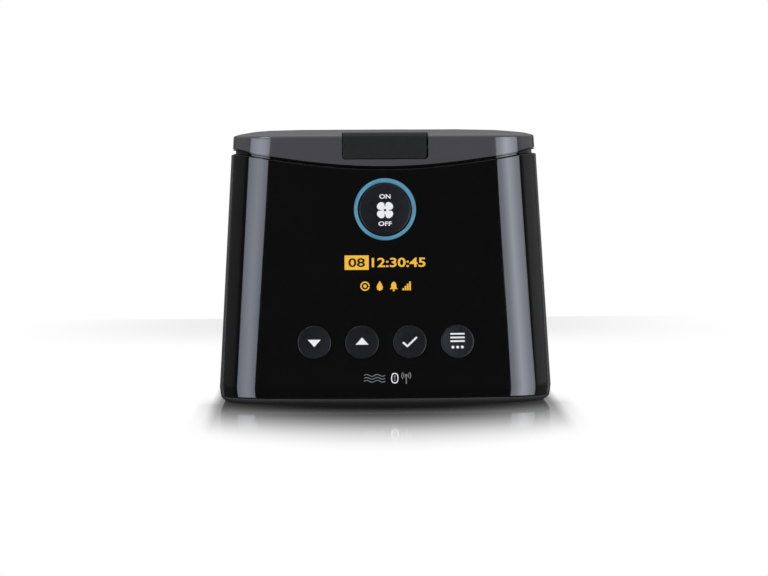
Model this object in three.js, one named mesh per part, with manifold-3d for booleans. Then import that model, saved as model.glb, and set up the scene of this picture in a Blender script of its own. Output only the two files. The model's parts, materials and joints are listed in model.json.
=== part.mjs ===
// CPAP machine with a built-in humidifier, as an assembly of separate pieces.
// Millimetres. X runs to the right seen from the front, Y from front to back, Z up.
// The origin is under the middle of the machine, on the surface that it stands on.

import * as THREE from 'three';
import { mergeVertices } from 'three/addons/utils/BufferGeometryUtils.js';
import Module from 'manifold-3d';

const wasm = await Module();
wasm.setup();

// Clearances that all pieces share
const fit = 0.3;
const overrun = 3;
const weld = 0.4;
const cutter_reach = 400;
const merge_distance = 1e-4;

// Case: outer form
const case_half_width = 92.5;
const case_side_lean = 7.9;
const case_wall = 2.5;
const front_setback = 13.6;
const front_bow_radius = 700;
const front_corner_reach = 25;
const front_corner_depth = 18;
const rear_corner_radius = 20;
const least_corner_share = 0.25;
const seam_depth = 15;
const seam_gap = 0.5;
const skirt_height = 4.5;
const skirt_tuck = 0.5;

// Case: spaces from front to back and from bottom to top
const front_space = 39;
const machinery_space = 108.5;
const under_bay_space = 45;
const rim_above_chamber = 3;
const edge_above_rim = 10.6;

// Base tray and feet
const base_thickness = 3.6;
const base_tuck = 5.2;
const base_top_tuck = 0.6;
const foot_proud = 0.6;
const foot_radius = 6;
const foot_inlay = 1;
const foot_from_side = 28;
const foot_from_end = 22;
const board_post_height = 5;
const board_post_radius = 3.5;

// Case screws
const screw_radius = 1.6;
const screw_head_radius = 3;
const screw_head_height = 1.6;
const screw_length = 14;
const boss_wall = 2.4;
const boss_from_side = 14;
const boss_from_seam = 26;
const boss_from_rear = 17;

// Top edge and crown of the lid and deck
const edge_radius = 1.2;
const crown_insets = [6, 14, 34];
const crown_rises = [0.9, 1.5, 2];

// Dip of the lid line across the front
const dip_depth = 8;
const dip_from_side = 14.5;
const lid_gap_front = 0.9;
const lid_gap_side = 2.4;
const gap_ramp_before_dip_end = 4;
const gap_ramp_length = 8;

// Water chamber
const chamber_width = 116;
const chamber_length = 104;
const chamber_corner_radius = 16;
const chamber_taper = 4;
const chamber_wall = 2;
const chamber_rim = 2;
const chamber_rim_height = 2.2;
const tub_height = 45.6;
const cover_height = 24;
const gasket_height = 1.4;
const gasket_width = 2;
const chamber_plate_thickness = 1.2;
const chamber_plate_overlap = 4;
const port_radius = 9.5;
const port_wall = 1.5;
const port_below_top = 13;
const inlet_port_x = 16;
const outlet_port_x = 38.5;

// Humidifier bay and heater
const bay_wall = 2;
const bay_clearance = 3;
const bay_shelf_drop = 1.3;
const bay_flange_inset = 3.2;
const bay_flange_thickness = 2;
const bay_skirt_height = 7.5;
const bay_behind_bay = 9.5;
const port_slot_clearance = 1;
const heater_width = 88;
const heater_length = 78;
const heater_corner_radius = 10;
const heater_thickness = 5;
const heater_spring_height = 4.7;
const heater_spring_radius = 26;
const heater_spring_width = 4;
const heater_spring_thickness = 0.8;
const heater_spring_waves = 4;

// Lid, liner, seal and hinges
const lid_wall = 2.2;
const lid_liner_thickness = 2;
const lid_seal_width = 4;
const lid_seal_inset = 8;
const hinge_behind_bay = 6;
const hinge_below_crown = 3.6;
const hinge_from_side = 32.6;
const hinge_barrel_radius = 2.7;
const hinge_pin_radius = 1.2;
const lid_barrel_length = 10;
const case_barrel_length = 4;
const lid_behind_hinge = 0.6;
const bulkhead_behind_hinge = 4.7;
const lid_swing_gap = 0.3;
const hinge_notch_depth = 4.4;

// Latch
const latch_width = 46.4;
const latch_above_dip = 5.8;
const latch_top_length = 8;
const latch_gap = 0.4;
const latch_travel = 2;
const latch_core_width = 38;
const latch_core_depth = 3;
const latch_core_height = 7;
const hook_width = 18;
const hook_thickness = 1.8;
const hook_drop = 11;
const latch_pocket_width = 56;
const latch_pocket_depth = 12;
const latch_spring_thickness = 0.4;
const latch_spring_height = 1.6;
const latch_spring_width = 30;

// Front panel: keys, start button and light ring
const key_radius = 9.3;
const key_spacing = 26.3;
const keys_above_base = 31.1;
const key_thickness = 4.2;
const key_flange = 1.3;
const key_flange_thickness = 1.1;
const key_travel = 0.8;
const stem_radius = 2.5;
const start_below_dip = 21.8;
const start_radius = 14.2;
const start_thickness = 5;
const start_guide_radius = 14.8;
const start_guide_thickness = 2;
const ring_outer_radius = 17.2;
const ring_inner_radius = 15.1;
const ring_depth = 7;
const ring_flange = 1.8;
const ring_flange_thickness = 1.2;

// Board and display behind the front panel
const key_board_depth = 13;
const key_board_width = 112;
const key_board_above_base = 16;
const key_board_below_rim = 14;
const board_thickness = 1.6;
const key_board_post_inset = 3.8;
const key_board_post_radius = 3;
const switch_size = 6;
const switch_height = 3;
const plunger_radius = 1.7;
const plunger_height = 1;
const display_width = 54;
const display_height = 26;
const display_below_start = 35;
const display_setback = 1.1;

// Boards under the bay and in the rear
const power_board_side_margin = 3;
const power_board_end_margin = 6;
const transformer_width = 36;
const transformer_length = 30;
const transformer_height = 27;
const capacitor_radius = 11;
const capacitor_height = 31;
const main_board_width = 62;
const main_board_length = 62;
const main_board_from_bay = 12;
const main_board_from_side = 12.5;

// Blower
const blower_radius = 40;
const blower_wall = 2;
const blower_plate_thickness = 3;
const blower_cup_height = 23;
const blower_from_side = 8;
const blower_from_rear = 11.5;
const blower_above_base = 42;
const motor_can_radius = 22;
const motor_can_height = 24;
const eye_radius = 14;
const eye_collar_wall = 2;
const eye_collar_height = 6;
const impeller_radius = 32;
const impeller_plate_thickness = 1.2;
const blade_height = 9.8;
const blade_thickness = 1.2;
const blade_count = 11;
const blade_sweep = 0.75;
const hub_radius = 6;
const shaft_radius = 1.5;
const magnet_radius = 7;
const magnet_height = 13;
const stator_bore_gap = 1;
const bearing_radius = 5;
const bearing_width = 3.4;
const bearing_seat_wall = 1.8;
const volute_port_radius = 9;
const volute_port_wall = 1.5;
const volute_port_length = 34;
const mount_radius = 4;
const mount_height = 11;
const mount_post_radius = 5;
const mount_count = 3;
const mount_from_edge = 6;

// Air inlet
const muffler_wall = 2;
const muffler_front_gap = 6;
const muffler_beside_recess = 12.7;
const muffler_neck_length = 8;
const foam_height = 30;
const foam_margin = 5;
const filter_width = 48;
const filter_height = 36;
const filter_thickness = 6;
const filter_above_floor = 20;
const door_lip = 3;
const door_thickness = 2.5;
const grille_slot_count = 6;
const grille_slot_height = 2.6;
const grille_margin = 6;

// Air outlet
const duct_radius = 10;
const duct_wall = 1.5;
const duct_bend_radius = 18;
const duct_drop = 40;
const delivery_bend = 14;
const elbow_overhang = 8;
const recess_beside_flange = 5.3;
const recess_length = 47;
const recess_floor_below_rim = 22;
const recess_wall = 2.5;
const socket_wall = 1.6;
const socket_height = 11;
const socket_clearance = 0.35;
const elbow_radius = 11;
const elbow_wall = 1.9;
const elbow_from_rear = 24;
const elbow_flange = 3.6;
const elbow_flange_thickness = 1.7;
const elbow_rise = 14;
const elbow_bend = 12;
const seal_groove = 1;
const seal_height = 1.6;

// Mains inlet and service socket
const mains_width = 30;
const mains_height = 20;
const mains_depth = 22;
const mains_above_base = 8;
const mains_from_side = 28.5;
const mains_cavity_width = 17;
const mains_cavity_height = 9;
const mains_cavity_depth = 15;
const mains_pin_radius = 1.2;
const mains_pin_spacing = 8.6;
const mains_pin_length = 12;
const service_above_base = 34;
const service_from_seam = 50;
const service_width = 10;
const service_height = 5;
const service_depth = 9;
const service_shell = 0.9;
const service_cover_margin = 2.6;
const service_cover_thickness = 1.6;

// Smoothness of round forms
const front_steps = 8;
const corner_steps = 5;
const round_steps = 24;
const small_round_steps = 12;
const pipe_sides = 12;
const pipe_steps = 14;
const dip_steps = 10;
const wave_steps = 8;
const edge_round_shares = [0.5, 1];

// Levels, from the surface up
const z_base_bottom = foot_proud;
const z_base_top = z_base_bottom + base_thickness;
const z_case_bottom = z_base_top + fit;
const z_widest = z_case_bottom + skirt_height;
const z_well_bottom = z_base_top + under_bay_space;
const z_well_floor = z_well_bottom + bay_wall;
const z_heater_bottom = z_well_floor + heater_spring_height + 2 * fit;
const z_heater_top = z_heater_bottom + heater_thickness;
const z_chamber_plate = z_heater_top + fit;
const z_tub_bottom = z_chamber_plate + chamber_plate_thickness + fit;
const z_tub_top = z_tub_bottom + tub_height;
const z_gasket_top = z_tub_top + fit + gasket_height;
const z_cover_bottom = z_gasket_top + fit;
const z_cover_top = z_cover_bottom + cover_height;
const z_rim = z_cover_top + rim_above_chamber;
const z_edge = z_rim + edge_above_rim;
const z_top = z_edge + Math.max(...crown_rises);
const z_dip = z_rim - dip_depth;
const z_flange_top = z_rim - lid_gap_side;
const z_flange_bottom = z_flange_top - bay_flange_thickness;
const z_liner_bottom = z_rim + lid_gap_side;
const z_liner_top = z_liner_bottom + lid_liner_thickness;
const z_hinge = z_edge + crown_rises[0] - hinge_below_crown;
const z_port = z_cover_top - port_below_top;
const z_shelf_top = z_heater_top - bay_shelf_drop;
const z_shelf_bottom = z_shelf_top - bay_wall;
const z_board = z_base_top + board_post_height + fit;
const z_parts = z_board + board_thickness + fit;

// Stations, from front to back
const bay_inner_width = chamber_width + 2 * bay_clearance;
const bay_inner_length = chamber_length + 2 * bay_clearance;
const bay_outer_length = bay_inner_length + 2 * bay_wall;
const case_depth = front_space + bay_outer_length + machinery_space + case_wall;
const y_front = -(case_depth + elbow_overhang) / 2;
const y_rear = y_front + case_depth;
const y_rear_inner = y_rear - case_wall;
const y_bay_front = y_front + front_space;
const y_bay_rear = y_bay_front + bay_outer_length;
const y_chamber = (y_bay_front + y_bay_rear) / 2;
const y_hinge = y_bay_rear + hinge_behind_bay;
const y_lid_rear = y_hinge + lid_behind_hinge;
const y_bulkhead = y_hinge + bulkhead_behind_hinge;

// How the case leans and bows
const case_top_half_width = case_half_width - case_side_lean;
const lean_height = z_edge - z_widest;
const side_slope = (case_half_width - case_top_half_width) / lean_height;
const front_slope = front_setback / lean_height;
const half_width_at = (z) => case_half_width - side_slope * Math.max(0, z - z_widest);
const front_y_at = (z) => y_front + front_slope * Math.max(0, z - z_widest);
const bow_at = (x) => front_bow_radius - Math.sqrt(front_bow_radius ** 2 - x ** 2);
const circle_handle_share = 0.5523;
const hinge_x = case_top_half_width - hinge_from_side;
const dip_half_width = case_half_width - dip_from_side;
const gap_ramp_start = dip_half_width - gap_ramp_before_dip_end;
const gap_ramp_end = gap_ramp_start + gap_ramp_length;

// Level of the line between front panel and lid, at a distance from the middle
function dip_line(x) {
  const share = Math.min(1, Math.abs(x) / dip_half_width);
  return z_dip + dip_depth * (1 - Math.cos((share * Math.PI) / 2));
}

// Level of the lid's lower edge, which opens into a wider gap at the sides
function lid_line(x) {
  const share = (Math.abs(x) - gap_ramp_start) / (gap_ramp_end - gap_ramp_start);
  const ramp = Math.min(1, Math.max(0, share));
  return dip_line(x) + lid_gap_front + (lid_gap_side - lid_gap_front) * ramp;
}

// Solids: closed meshes for cutting and joining

function to_solid(geometry) {
  const bare = geometry.clone();
  bare.deleteAttribute('normal');
  bare.deleteAttribute('uv');
  const merged = mergeVertices(bare, merge_distance);
  const position = merged.attributes.position.array;
  const faces = [];
  for (let i = 0; i < merged.index.count; i += 3) {
    const [a, b, c] = [0, 1, 2].map((k) => merged.index.array[i + k]);
    if (a !== b && b !== c && c !== a) faces.push([a, b, c]);
  }
  const corner = (i) => new THREE.Vector3().fromArray(position, 3 * i);
  const volume = faces.reduce(
    (sum, [a, b, c]) => sum + corner(a).dot(corner(b).cross(corner(c))), 0);
  const turned = volume < 0 ? faces.map(([a, b, c]) => [a, c, b]) : faces;
  return new wasm.Manifold(new wasm.Mesh({
    numProp: 3,
    vertProperties: new Float32Array(position),
    triVerts: new Uint32Array(turned.flat()),
  }));
}

function to_geometry(solid) {
  const mesh = solid.getMesh();
  const geometry = new THREE.BufferGeometry();
  geometry.setAttribute('position', new THREE.BufferAttribute(mesh.vertProperties, 3));
  geometry.setIndex(new THREE.BufferAttribute(mesh.triVerts, 1));
  geometry.computeVertexNormals();
  return geometry;
}

const joined = (...solids) => solids.reduce((all, solid) => all.add(solid));
const cut = (solid, ...cutters) => cutters.reduce((left, cutter) => left.subtract(cutter), solid);
const shared = (...solids) => solids.reduce((all, solid) => all.intersect(solid));

function placed(solid, matrix) {
  return to_solid(to_geometry(solid).applyMatrix4(matrix));
}

function block(x0, x1, y0, y1, z0, z1) {
  const box = new THREE.BoxGeometry(x1 - x0, y1 - y0, z1 - z0);
  box.translate((x0 + x1) / 2, (y0 + y1) / 2, (z0 + z1) / 2);
  return to_solid(box);
}

// A round bar along Z, Y or X, between two places on its axis
function bar_z(x, y, radius, z0, z1, steps = small_round_steps) {
  const bar = new THREE.CylinderGeometry(radius, radius, z1 - z0, steps);
  bar.rotateX(Math.PI / 2);
  bar.translate(x, y, (z0 + z1) / 2);
  return to_solid(bar);
}

function bar_y(x, z, radius, y0, y1, steps = small_round_steps) {
  const bar = new THREE.CylinderGeometry(radius, radius, y1 - y0, steps);
  bar.translate(x, (y0 + y1) / 2, z);
  return to_solid(bar);
}

function bar_x(y, z, radius, x0, x1, steps = small_round_steps) {
  const bar = new THREE.CylinderGeometry(radius, radius, x1 - x0, steps);
  bar.rotateZ(Math.PI / 2);
  bar.translate((x0 + x1) / 2, y, z);
  return to_solid(bar);
}

// A turned form round an upright axis, from its [radius, height] outline
function turned(x, y, outline, steps = round_steps) {
  const points = outline.map(([radius, z]) => new THREE.Vector2(radius, z));
  const lathe = new THREE.LatheGeometry([...points, points[0].clone()], steps);
  lathe.rotateX(Math.PI / 2);
  lathe.translate(x, y, 0);
  return to_solid(lathe);
}

const tube_z = (x, y, outer, inner, z0, z1, steps) =>
  turned(x, y, [[inner, z0], [outer, z0], [outer, z1], [inner, z1]], steps);

// Closed form through rings that have the same number of points
function loft(rings) {
  const count = rings[0].length;
  const positions = rings.flat().flatMap((point) => [point.x, point.y, point.z]);
  const faces = [];
  for (let level = 0; level < rings.length - 1; level += 1) {
    for (let i = 0; i < count; i += 1) {
      const a = level * count + i;
      const b = level * count + ((i + 1) % count);
      faces.push(a, b, b + count, a, b + count, a + count);
    }
  }
  const flat = (ring) => ring.map((point) => new THREE.Vector2(point.x, point.y));
  const top = (rings.length - 1) * count;
  for (const [a, b, c] of THREE.ShapeUtils.triangulateShape(flat(rings[0]), [])) {
    faces.push(a, c, b);
  }
  for (const [a, b, c] of THREE.ShapeUtils.triangulateShape(flat(rings.at(-1)), [])) {
    faces.push(top + a, top + b, top + c);
  }
  const geometry = new THREE.BufferGeometry();
  geometry.setAttribute('position', new THREE.Float32BufferAttribute(positions, 3));
  geometry.setIndex(faces);
  return to_solid(geometry);
}

// Rounded rectangle at a level, as a ring of points
function rounded_ring(x, y, width, length, radius, z) {
  const steps = corner_steps;
  const ring = [];
  const centres = [[1, 1], [-1, 1], [-1, -1], [1, -1]];
  centres.forEach(([side, end], quarter) => {
    for (let i = 0; i <= steps; i += 1) {
      const angle = ((quarter + i / steps) * Math.PI) / 2;
      ring.push(new THREE.Vector3(
        x + side * (width / 2 - radius) + radius * Math.cos(angle),
        y + end * (length / 2 - radius) + radius * Math.sin(angle),
        z,
      ));
    }
  });
  return ring;
}

function rounded_block(x, y, width, length, radius, z0, z1) {
  return loft([z0, z1].map((z) => rounded_ring(x, y, width, length, radius, z)));
}

// Outline of the whole case at a level, drawn in by an inset
function case_ring(z, inset) {
  const half = half_width_at(z) - inset;
  const front = front_y_at(z) + inset;
  const rear = y_rear - inset;
  const left_of = (size) => Math.max(size - inset, size * least_corner_share);
  const start_x = half - left_of(front_corner_reach);
  const start_y = front + bow_at(start_x);
  const end_y = start_y + left_of(front_corner_depth);
  const slope = start_x / Math.sqrt(front_bow_radius ** 2 - start_x ** 2);
  const reach = (half - start_x) * circle_handle_share;
  const corner = new THREE.CubicBezierCurve(
    new THREE.Vector2(start_x, start_y),
    new THREE.Vector2(start_x + reach, start_y + reach * slope),
    new THREE.Vector2(half, end_y - (end_y - start_y) * circle_handle_share),
    new THREE.Vector2(half, end_y),
  ).getPoints(corner_steps);
  const radius = left_of(rear_corner_radius);
  const right = [];
  for (let i = 1; i < front_steps / 2; i += 1) {
    const x = (start_x * i) / (front_steps / 2);
    right.push([x, front + bow_at(x)]);
  }
  corner.forEach((point) => right.push([point.x, point.y]));
  for (let i = 0; i <= corner_steps; i += 1) {
    const angle = (i / corner_steps) * (Math.PI / 2);
    right.push([half - radius + radius * Math.cos(angle), rear - radius + radius * Math.sin(angle)]);
  }
  const left = right.map(([x, y]) => [-x, y]).reverse();
  return [[0, front], ...right, ...left].map(([x, y]) => new THREE.Vector3(x, y, z));
}

// Rings from a level up to where the case is widest; its lower edge tucks in a little
const lower_rings = (z0, inset) => (z0 < z_widest
  ? [case_ring(z0, inset + skirt_tuck), case_ring(z_widest, inset)]
  : [case_ring(z0, inset)]);

// The body between two levels, drawn in by an inset all round
const case_body = (z0, z1, inset) => loft([...lower_rings(z0, inset), case_ring(z1, inset)]);

// The body up to the crowned top; the inset also lowers the top
function crowned_body(z0, inset) {
  const rings = [...lower_rings(z0, inset), case_ring(z_edge - edge_radius - inset, inset)];
  for (const share of edge_round_shares) {
    const angle = (share * Math.PI) / 2;
    const drawn_in = inset + edge_radius * (1 - Math.cos(angle));
    rings.push(case_ring(z_edge - inset - edge_radius * (1 - Math.sin(angle)), drawn_in));
  }
  crown_insets.forEach((crown_inset, i) => {
    rings.push(case_ring(z_edge - inset + crown_rises[i], inset + crown_inset));
  });
  return loft(rings);
}

// Prism along Y from an outline in X and Z
function prism_y(outline, y0, y1) {
  const shape = new THREE.Shape(outline.map(([x, z]) => new THREE.Vector2(x, z)));
  const prism = new THREE.ExtrudeGeometry(shape, { depth: y1 - y0, bevelEnabled: false });
  prism.rotateX(Math.PI / 2);
  prism.translate(0, y1, 0);
  return to_solid(prism);
}

// Prism along X from an outline in Y and Z
function prism_x(outline, x0, x1) {
  const shape = new THREE.Shape(outline.map(([y, z]) => new THREE.Vector2(y, z)));
  const prism = new THREE.ExtrudeGeometry(shape, { depth: x1 - x0, bevelEnabled: false });
  prism.rotateY(Math.PI / 2);
  prism.rotateX(Math.PI / 2);
  prism.translate(x0, 0, 0);
  return to_solid(prism);
}

// Round tube along a path
function pipe(path, outer, inner, steps) {
  const shape = new THREE.Shape().absarc(0, 0, outer, 0, 2 * Math.PI);
  if (inner > 0) shape.holes.push(new THREE.Path().absarc(0, 0, inner, 0, 2 * Math.PI, true));
  return to_solid(new THREE.ExtrudeGeometry(shape, {
    steps, extrudePath: path, curveSegments: pipe_sides / 2, bevelEnabled: false,
  }));
}

const vector = (x, y, z) => new THREE.Vector3(x, y, z);

// Quarter bend from a start, along one direction, into a second one
function bend(start, along, into, radius) {
  const handle = radius * circle_handle_share;
  const end = start.clone().addScaledVector(along, radius).addScaledVector(into, radius);
  return new THREE.CubicBezierCurve3(
    start,
    start.clone().addScaledVector(along, handle),
    end.clone().addScaledVector(into, -handle),
    end,
  );
}

function path_of(...curves) {
  const path = new THREE.CurvePath();
  curves.forEach((curve) => path.add(curve));
  return path;
}

// Frame on the front panel: its third axis points straight out of the panel
function panel_frame(x, z) {
  const slope = x / Math.sqrt(front_bow_radius ** 2 - x ** 2);
  const out = vector(slope, -1, front_slope).normalize();
  const right = vector(1, slope, 0).normalize();
  const up = out.clone().cross(right);
  return new THREE.Matrix4()
    .makeBasis(right, up, out)
    .setPosition(x, front_y_at(z) + bow_at(x), z);
}

// Finishes
const finishes = {
  gloss_black: { color: 0x0d0d0e, roughness: 0.12, metalness: 0 },
  lid_charcoal: { color: 0x3a3b3f, roughness: 0.28, metalness: 0 },
  case_charcoal: { color: 0x2a2a2c, roughness: 0.55, metalness: 0 },
  latch_texture: { color: 0x232325, roughness: 0.8, metalness: 0 },
  key_black: { color: 0x1c1c20, roughness: 0.4, metalness: 0 },
  ring_blue: { color: 0x5a9ab8, roughness: 0.35, metalness: 0 },
  inner_grey: { color: 0x8d9094, roughness: 0.6, metalness: 0 },
  inner_black: { color: 0x1e1f21, roughness: 0.6, metalness: 0 },
  clear_plastic: { color: 0xc9d6dc, roughness: 0.1, metalness: 0 },
  silicone: { color: 0xb9bec2, roughness: 0.7, metalness: 0 },
  dark_rubber: { color: 0x17171a, roughness: 0.85, metalness: 0 },
  steel: { color: 0xb8babd, roughness: 0.3, metalness: 1 },
  aluminium: { color: 0xc6c8ca, roughness: 0.35, metalness: 1 },
  brass: { color: 0xc0a257, roughness: 0.35, metalness: 1 },
  board_green: { color: 0x1f5a3a, roughness: 0.5, metalness: 0 },
  display_glass: { color: 0x101216, roughness: 0.1, metalness: 0 },
  foam_grey: { color: 0x55585c, roughness: 0.95, metalness: 0 },
  filter_white: { color: 0xe8e8e2, roughness: 0.95, metalness: 0 },
};

const machine = new THREE.Group();

function piece(name, solid, finish, frame) {
  const material = new THREE.MeshStandardMaterial(finishes[finish]);
  const mesh = new THREE.Mesh(to_geometry(solid), material);
  mesh.name = name;
  if (frame) mesh.applyMatrix4(frame);
  machine.add(mesh);
}

// Case: main shell, front panel, base tray, feet and screws

const y_recess = y_rear - recess_length;
const z_recess = z_rim - recess_floor_below_rim;
const y_boss_front = front_y_at(z_widest) + seam_depth + boss_from_seam;
const y_boss_rear = y_rear - boss_from_rear;
const x_boss = case_half_width - boss_from_side;
const boss_radius = screw_radius + fit + boss_wall;
const z_boss_top = z_base_bottom + screw_length + overrun;
const boss_places = [
  ['front_left', -1, y_boss_front],
  ['front_right', 1, y_boss_front],
  ['rear_left', -1, y_boss_rear],
  ['rear_right', 1, y_boss_rear],
];
const x_elbow = outlet_port_x;
const x_recess = x_elbow - elbow_radius - elbow_flange - recess_beside_flange;
const y_elbow = y_rear - elbow_from_rear;
const socket_outer_radius = elbow_radius + socket_clearance + socket_wall;

// What lies in front of the seam between front panel and shell; forward moves it
function before_seam(forward) {
  const line = [0, z_top + overrun].map((z) =>
    [y_front + seam_depth + front_slope * (z - z_widest) - forward, z]);
  return prism_x([...line, [-cutter_reach, z_top + overrun], [-cutter_reach, 0]],
    -cutter_reach, cutter_reach);
}

// Outline of everything between a line across the front and a level
function above_line(line, z_limit) {
  const outline = [];
  for (let i = -dip_steps; i <= dip_steps; i += 1) {
    const x = (i / dip_steps) * gap_ramp_end;
    outline.push([x, line(x)]);
  }
  return [
    [-cutter_reach, line(-gap_ramp_end)], ...outline, [cutter_reach, line(gap_ramp_end)],
    [cutter_reach, z_limit], [-cutter_reach, z_limit],
  ];
}

// Places of the mains inlet and of the service socket
const x_mains = case_half_width - mains_from_side - mains_width / 2;
const z_mains = z_base_top + mains_above_base + mains_height / 2;
const y_service = front_y_at(z_widest) + seam_depth + service_from_seam;
const z_service = z_base_top + service_above_base;
const x_service = -half_width_at(z_service);
const service_cover_width = service_width + 2 * service_cover_margin;
const service_cover_height = service_height + 2 * service_cover_margin;
const service_frame = new THREE.Matrix4()
  .makeRotationY(Math.atan(side_slope))
  .setPosition(x_service, y_service, z_service);

// Places of the blower and of the filter
const blower_x = -(case_top_half_width - case_wall - blower_from_side - blower_radius);
const blower_y = y_rear_inner - blower_from_rear - blower_radius;
const z_plate = z_base_top + blower_above_base;
const z_cup = z_plate + blower_plate_thickness + fit;
const z_cup_top = z_cup + blower_cup_height;
const z_muffler = z_cup_top + fit + eye_collar_height;
const x_filter = blower_x;
const z_filter = z_muffler + filter_above_floor + filter_height / 2;
const door_width = filter_width + 2 * door_lip;
const door_height = filter_height + 2 * door_lip;

function main_shell() {
  const outer = crowned_body(z_case_bottom, 0);
  const bulkhead = block(-cutter_reach, cutter_reach, y_bulkhead, y_bulkhead + case_wall,
    z_flange_bottom, z_top);
  const recess_shell = block(x_recess - recess_wall, cutter_reach, y_recess - recess_wall, cutter_reach,
    z_recess - recess_wall, z_top);
  const hollow = cut(crowned_body(z_case_bottom - overrun, case_wall), bulkhead, recess_shell);
  const lid_space = block(-cutter_reach, cutter_reach, -cutter_reach, y_bulkhead, z_rim, z_top + overrun);
  const recess = block(x_recess, cutter_reach, y_recess, cutter_reach, z_recess, z_top + overrun);
  const socket_hole = bar_z(x_elbow, y_elbow, socket_outer_radius + fit,
    z_recess - recess_wall - overrun, z_recess + overrun, round_steps);
  const mains_hole = block(x_mains - mains_width / 2 - fit, x_mains + mains_width / 2 + fit,
    y_rear_inner - overrun, y_rear + overrun,
    z_mains - mains_height / 2 - fit, z_mains + mains_height / 2 + fit);
  const filter_hole = block(x_filter - door_width / 2 - fit, x_filter + door_width / 2 + fit,
    y_rear_inner - overrun, y_rear + overrun,
    z_filter - door_height / 2 - fit, z_filter + door_height / 2 + fit);
  const service_hole = placed(block(-case_wall, 2 * case_wall,
    -service_cover_width / 2 - fit, service_cover_width / 2 + fit,
    -service_cover_height / 2 - fit, service_cover_height / 2 + fit), service_frame);
  const swing_radius = Math.hypot(z_top - z_hinge, lid_behind_hinge) + lid_swing_gap;
  const swing_reach = case_top_half_width - case_wall;
  const lid_swing = bar_x(y_hinge, z_hinge, swing_radius, -swing_reach, swing_reach);
  const shell = cut(outer, hollow, before_seam(-seam_gap / 2), lid_space, lid_swing, recess, socket_hole,
    mains_hole, filter_hole, service_hole);
  const bosses = boss_places.map(([, side, y]) => joined(
    bar_z(side * x_boss, y, boss_radius, z_case_bottom, z_boss_top),
    block(Math.min(side * x_boss, side * (half_width_at(z_boss_top) - case_wall / 2)),
      Math.max(side * x_boss, side * (half_width_at(z_boss_top) - case_wall / 2)),
      y - boss_wall / 2, y + boss_wall / 2, z_case_bottom + skirt_height, z_boss_top)));
  const pilots = boss_places.map(([, side, y]) => bar_z(side * x_boss, y, screw_radius + fit,
    z_case_bottom - overrun, z_base_bottom + screw_length + fit));
  const barrels = [-1, 1].flatMap((side) => [-1, 1].map((end) => {
    const near = side * hinge_x + end * (lid_barrel_length / 2 + fit);
    const far = near + end * case_barrel_length;
    const [x0, x1] = [Math.min(near, far), Math.max(near, far)];
    return joined(
      bar_x(y_hinge, z_hinge, hinge_barrel_radius, x0, x1),
      block(x0, x1, y_hinge, y_bulkhead + weld,
        z_hinge - hinge_barrel_radius, z_hinge + hinge_barrel_radius));
  }));
  const pin_holes = [-1, 1].map((side) => {
    const reach = lid_barrel_length / 2 + fit + case_barrel_length + overrun;
    return bar_x(y_hinge, z_hinge, hinge_pin_radius + fit, side * hinge_x - reach, side * hinge_x + reach);
  });
  return cut(joined(shell, ...bosses, ...barrels), ...pilots, ...pin_holes);
}

// Places on the front panel
const z_start = z_dip - start_below_dip;
const z_display = z_start - display_below_start;
const z_keys = z_base_top + keys_above_base;
const keys = [
  ['key_down', -1.5 * key_spacing],
  ['key_up', -0.5 * key_spacing],
  ['key_confirm', 0.5 * key_spacing],
  ['key_menu', 1.5 * key_spacing],
];
const z_key_board = (z_base_top + key_board_above_base + z_rim - key_board_below_rim) / 2;
const key_board_height = z_rim - key_board_below_rim - z_base_top - key_board_above_base;
const board_frame = panel_frame(0, z_key_board);
const to_board = (z) => (z - z_key_board) * Math.sqrt(1 + front_slope ** 2);
const key_board_posts = [-1, 1].flatMap((side) => [-1, 1].map((end) => [
  side * (key_board_width / 2 - key_board_post_inset),
  end * (key_board_height / 2 - key_board_post_inset),
]));

function front_fascia() {
  const outer = case_body(z_case_bottom, z_rim + overrun, 0);
  const inner = case_body(z_case_bottom - overrun, z_rim + 2 * overrun, case_wall);
  const behind_seam = block(-cutter_reach, cutter_reach, -cutter_reach, cutter_reach,
    -overrun, z_top + overrun).subtract(before_seam(seam_gap / 2));
  const top = prism_y(above_line(dip_line, z_top), -cutter_reach, cutter_reach);
  const posts = key_board_posts.map(([u, v]) => placed(
    bar_z(u, v, key_board_post_radius, -key_board_depth + fit, -case_wall / 2 - bow_at(u)), board_frame));
  const holes = keys.map(([, x]) => placed(
    bar_z(0, 0, key_radius + fit, -case_wall - overrun, overrun, round_steps), panel_frame(x, z_keys)));
  const ring_hole = placed(
    bar_z(0, 0, ring_outer_radius + fit, -case_wall - overrun, overrun, round_steps),
    panel_frame(0, z_start));
  return cut(joined(cut(outer, inner, behind_seam, top), ...posts), ...holes, ring_hole);
}

const foot_places = [
  ['front_left', -1, -1], ['front_right', 1, -1], ['rear_left', -1, 1], ['rear_right', 1, 1],
].map(([name, side, end]) => [
  name,
  side * (case_half_width - foot_from_side),
  end < 0 ? y_front + foot_from_end : y_rear - foot_from_end,
]);

const power_board_half_width = bay_inner_width / 2 + bay_wall + power_board_side_margin;
const power_board_ends = [y_bay_front + power_board_end_margin, y_bay_rear - power_board_end_margin];
const main_board_right = case_half_width - main_board_from_side;
const main_board_x = [main_board_right - main_board_width, main_board_right];
const y_main_board = y_bay_rear + main_board_from_bay;
const main_board_y = [y_main_board, y_main_board + main_board_length];
const mount_ring = blower_radius - mount_from_edge;
const mount_places = Array.from({ length: mount_count }, (_, i) => {
  const angle = Math.PI / 2 + (i / mount_count) * 2 * Math.PI;
  return [blower_x + mount_ring * Math.cos(angle), blower_y + mount_ring * Math.sin(angle)];
});
const z_mount = z_plate - fit - mount_height;

// The four corners of a board, drawn in by the posts that carry it
function post_places([x0, x1], [y0, y1]) {
  const inset = board_post_radius + fit;
  return [x0 + inset, x1 - inset].flatMap((x) => [y0 + inset, y1 - inset].map((y) => [x, y]));
}

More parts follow.
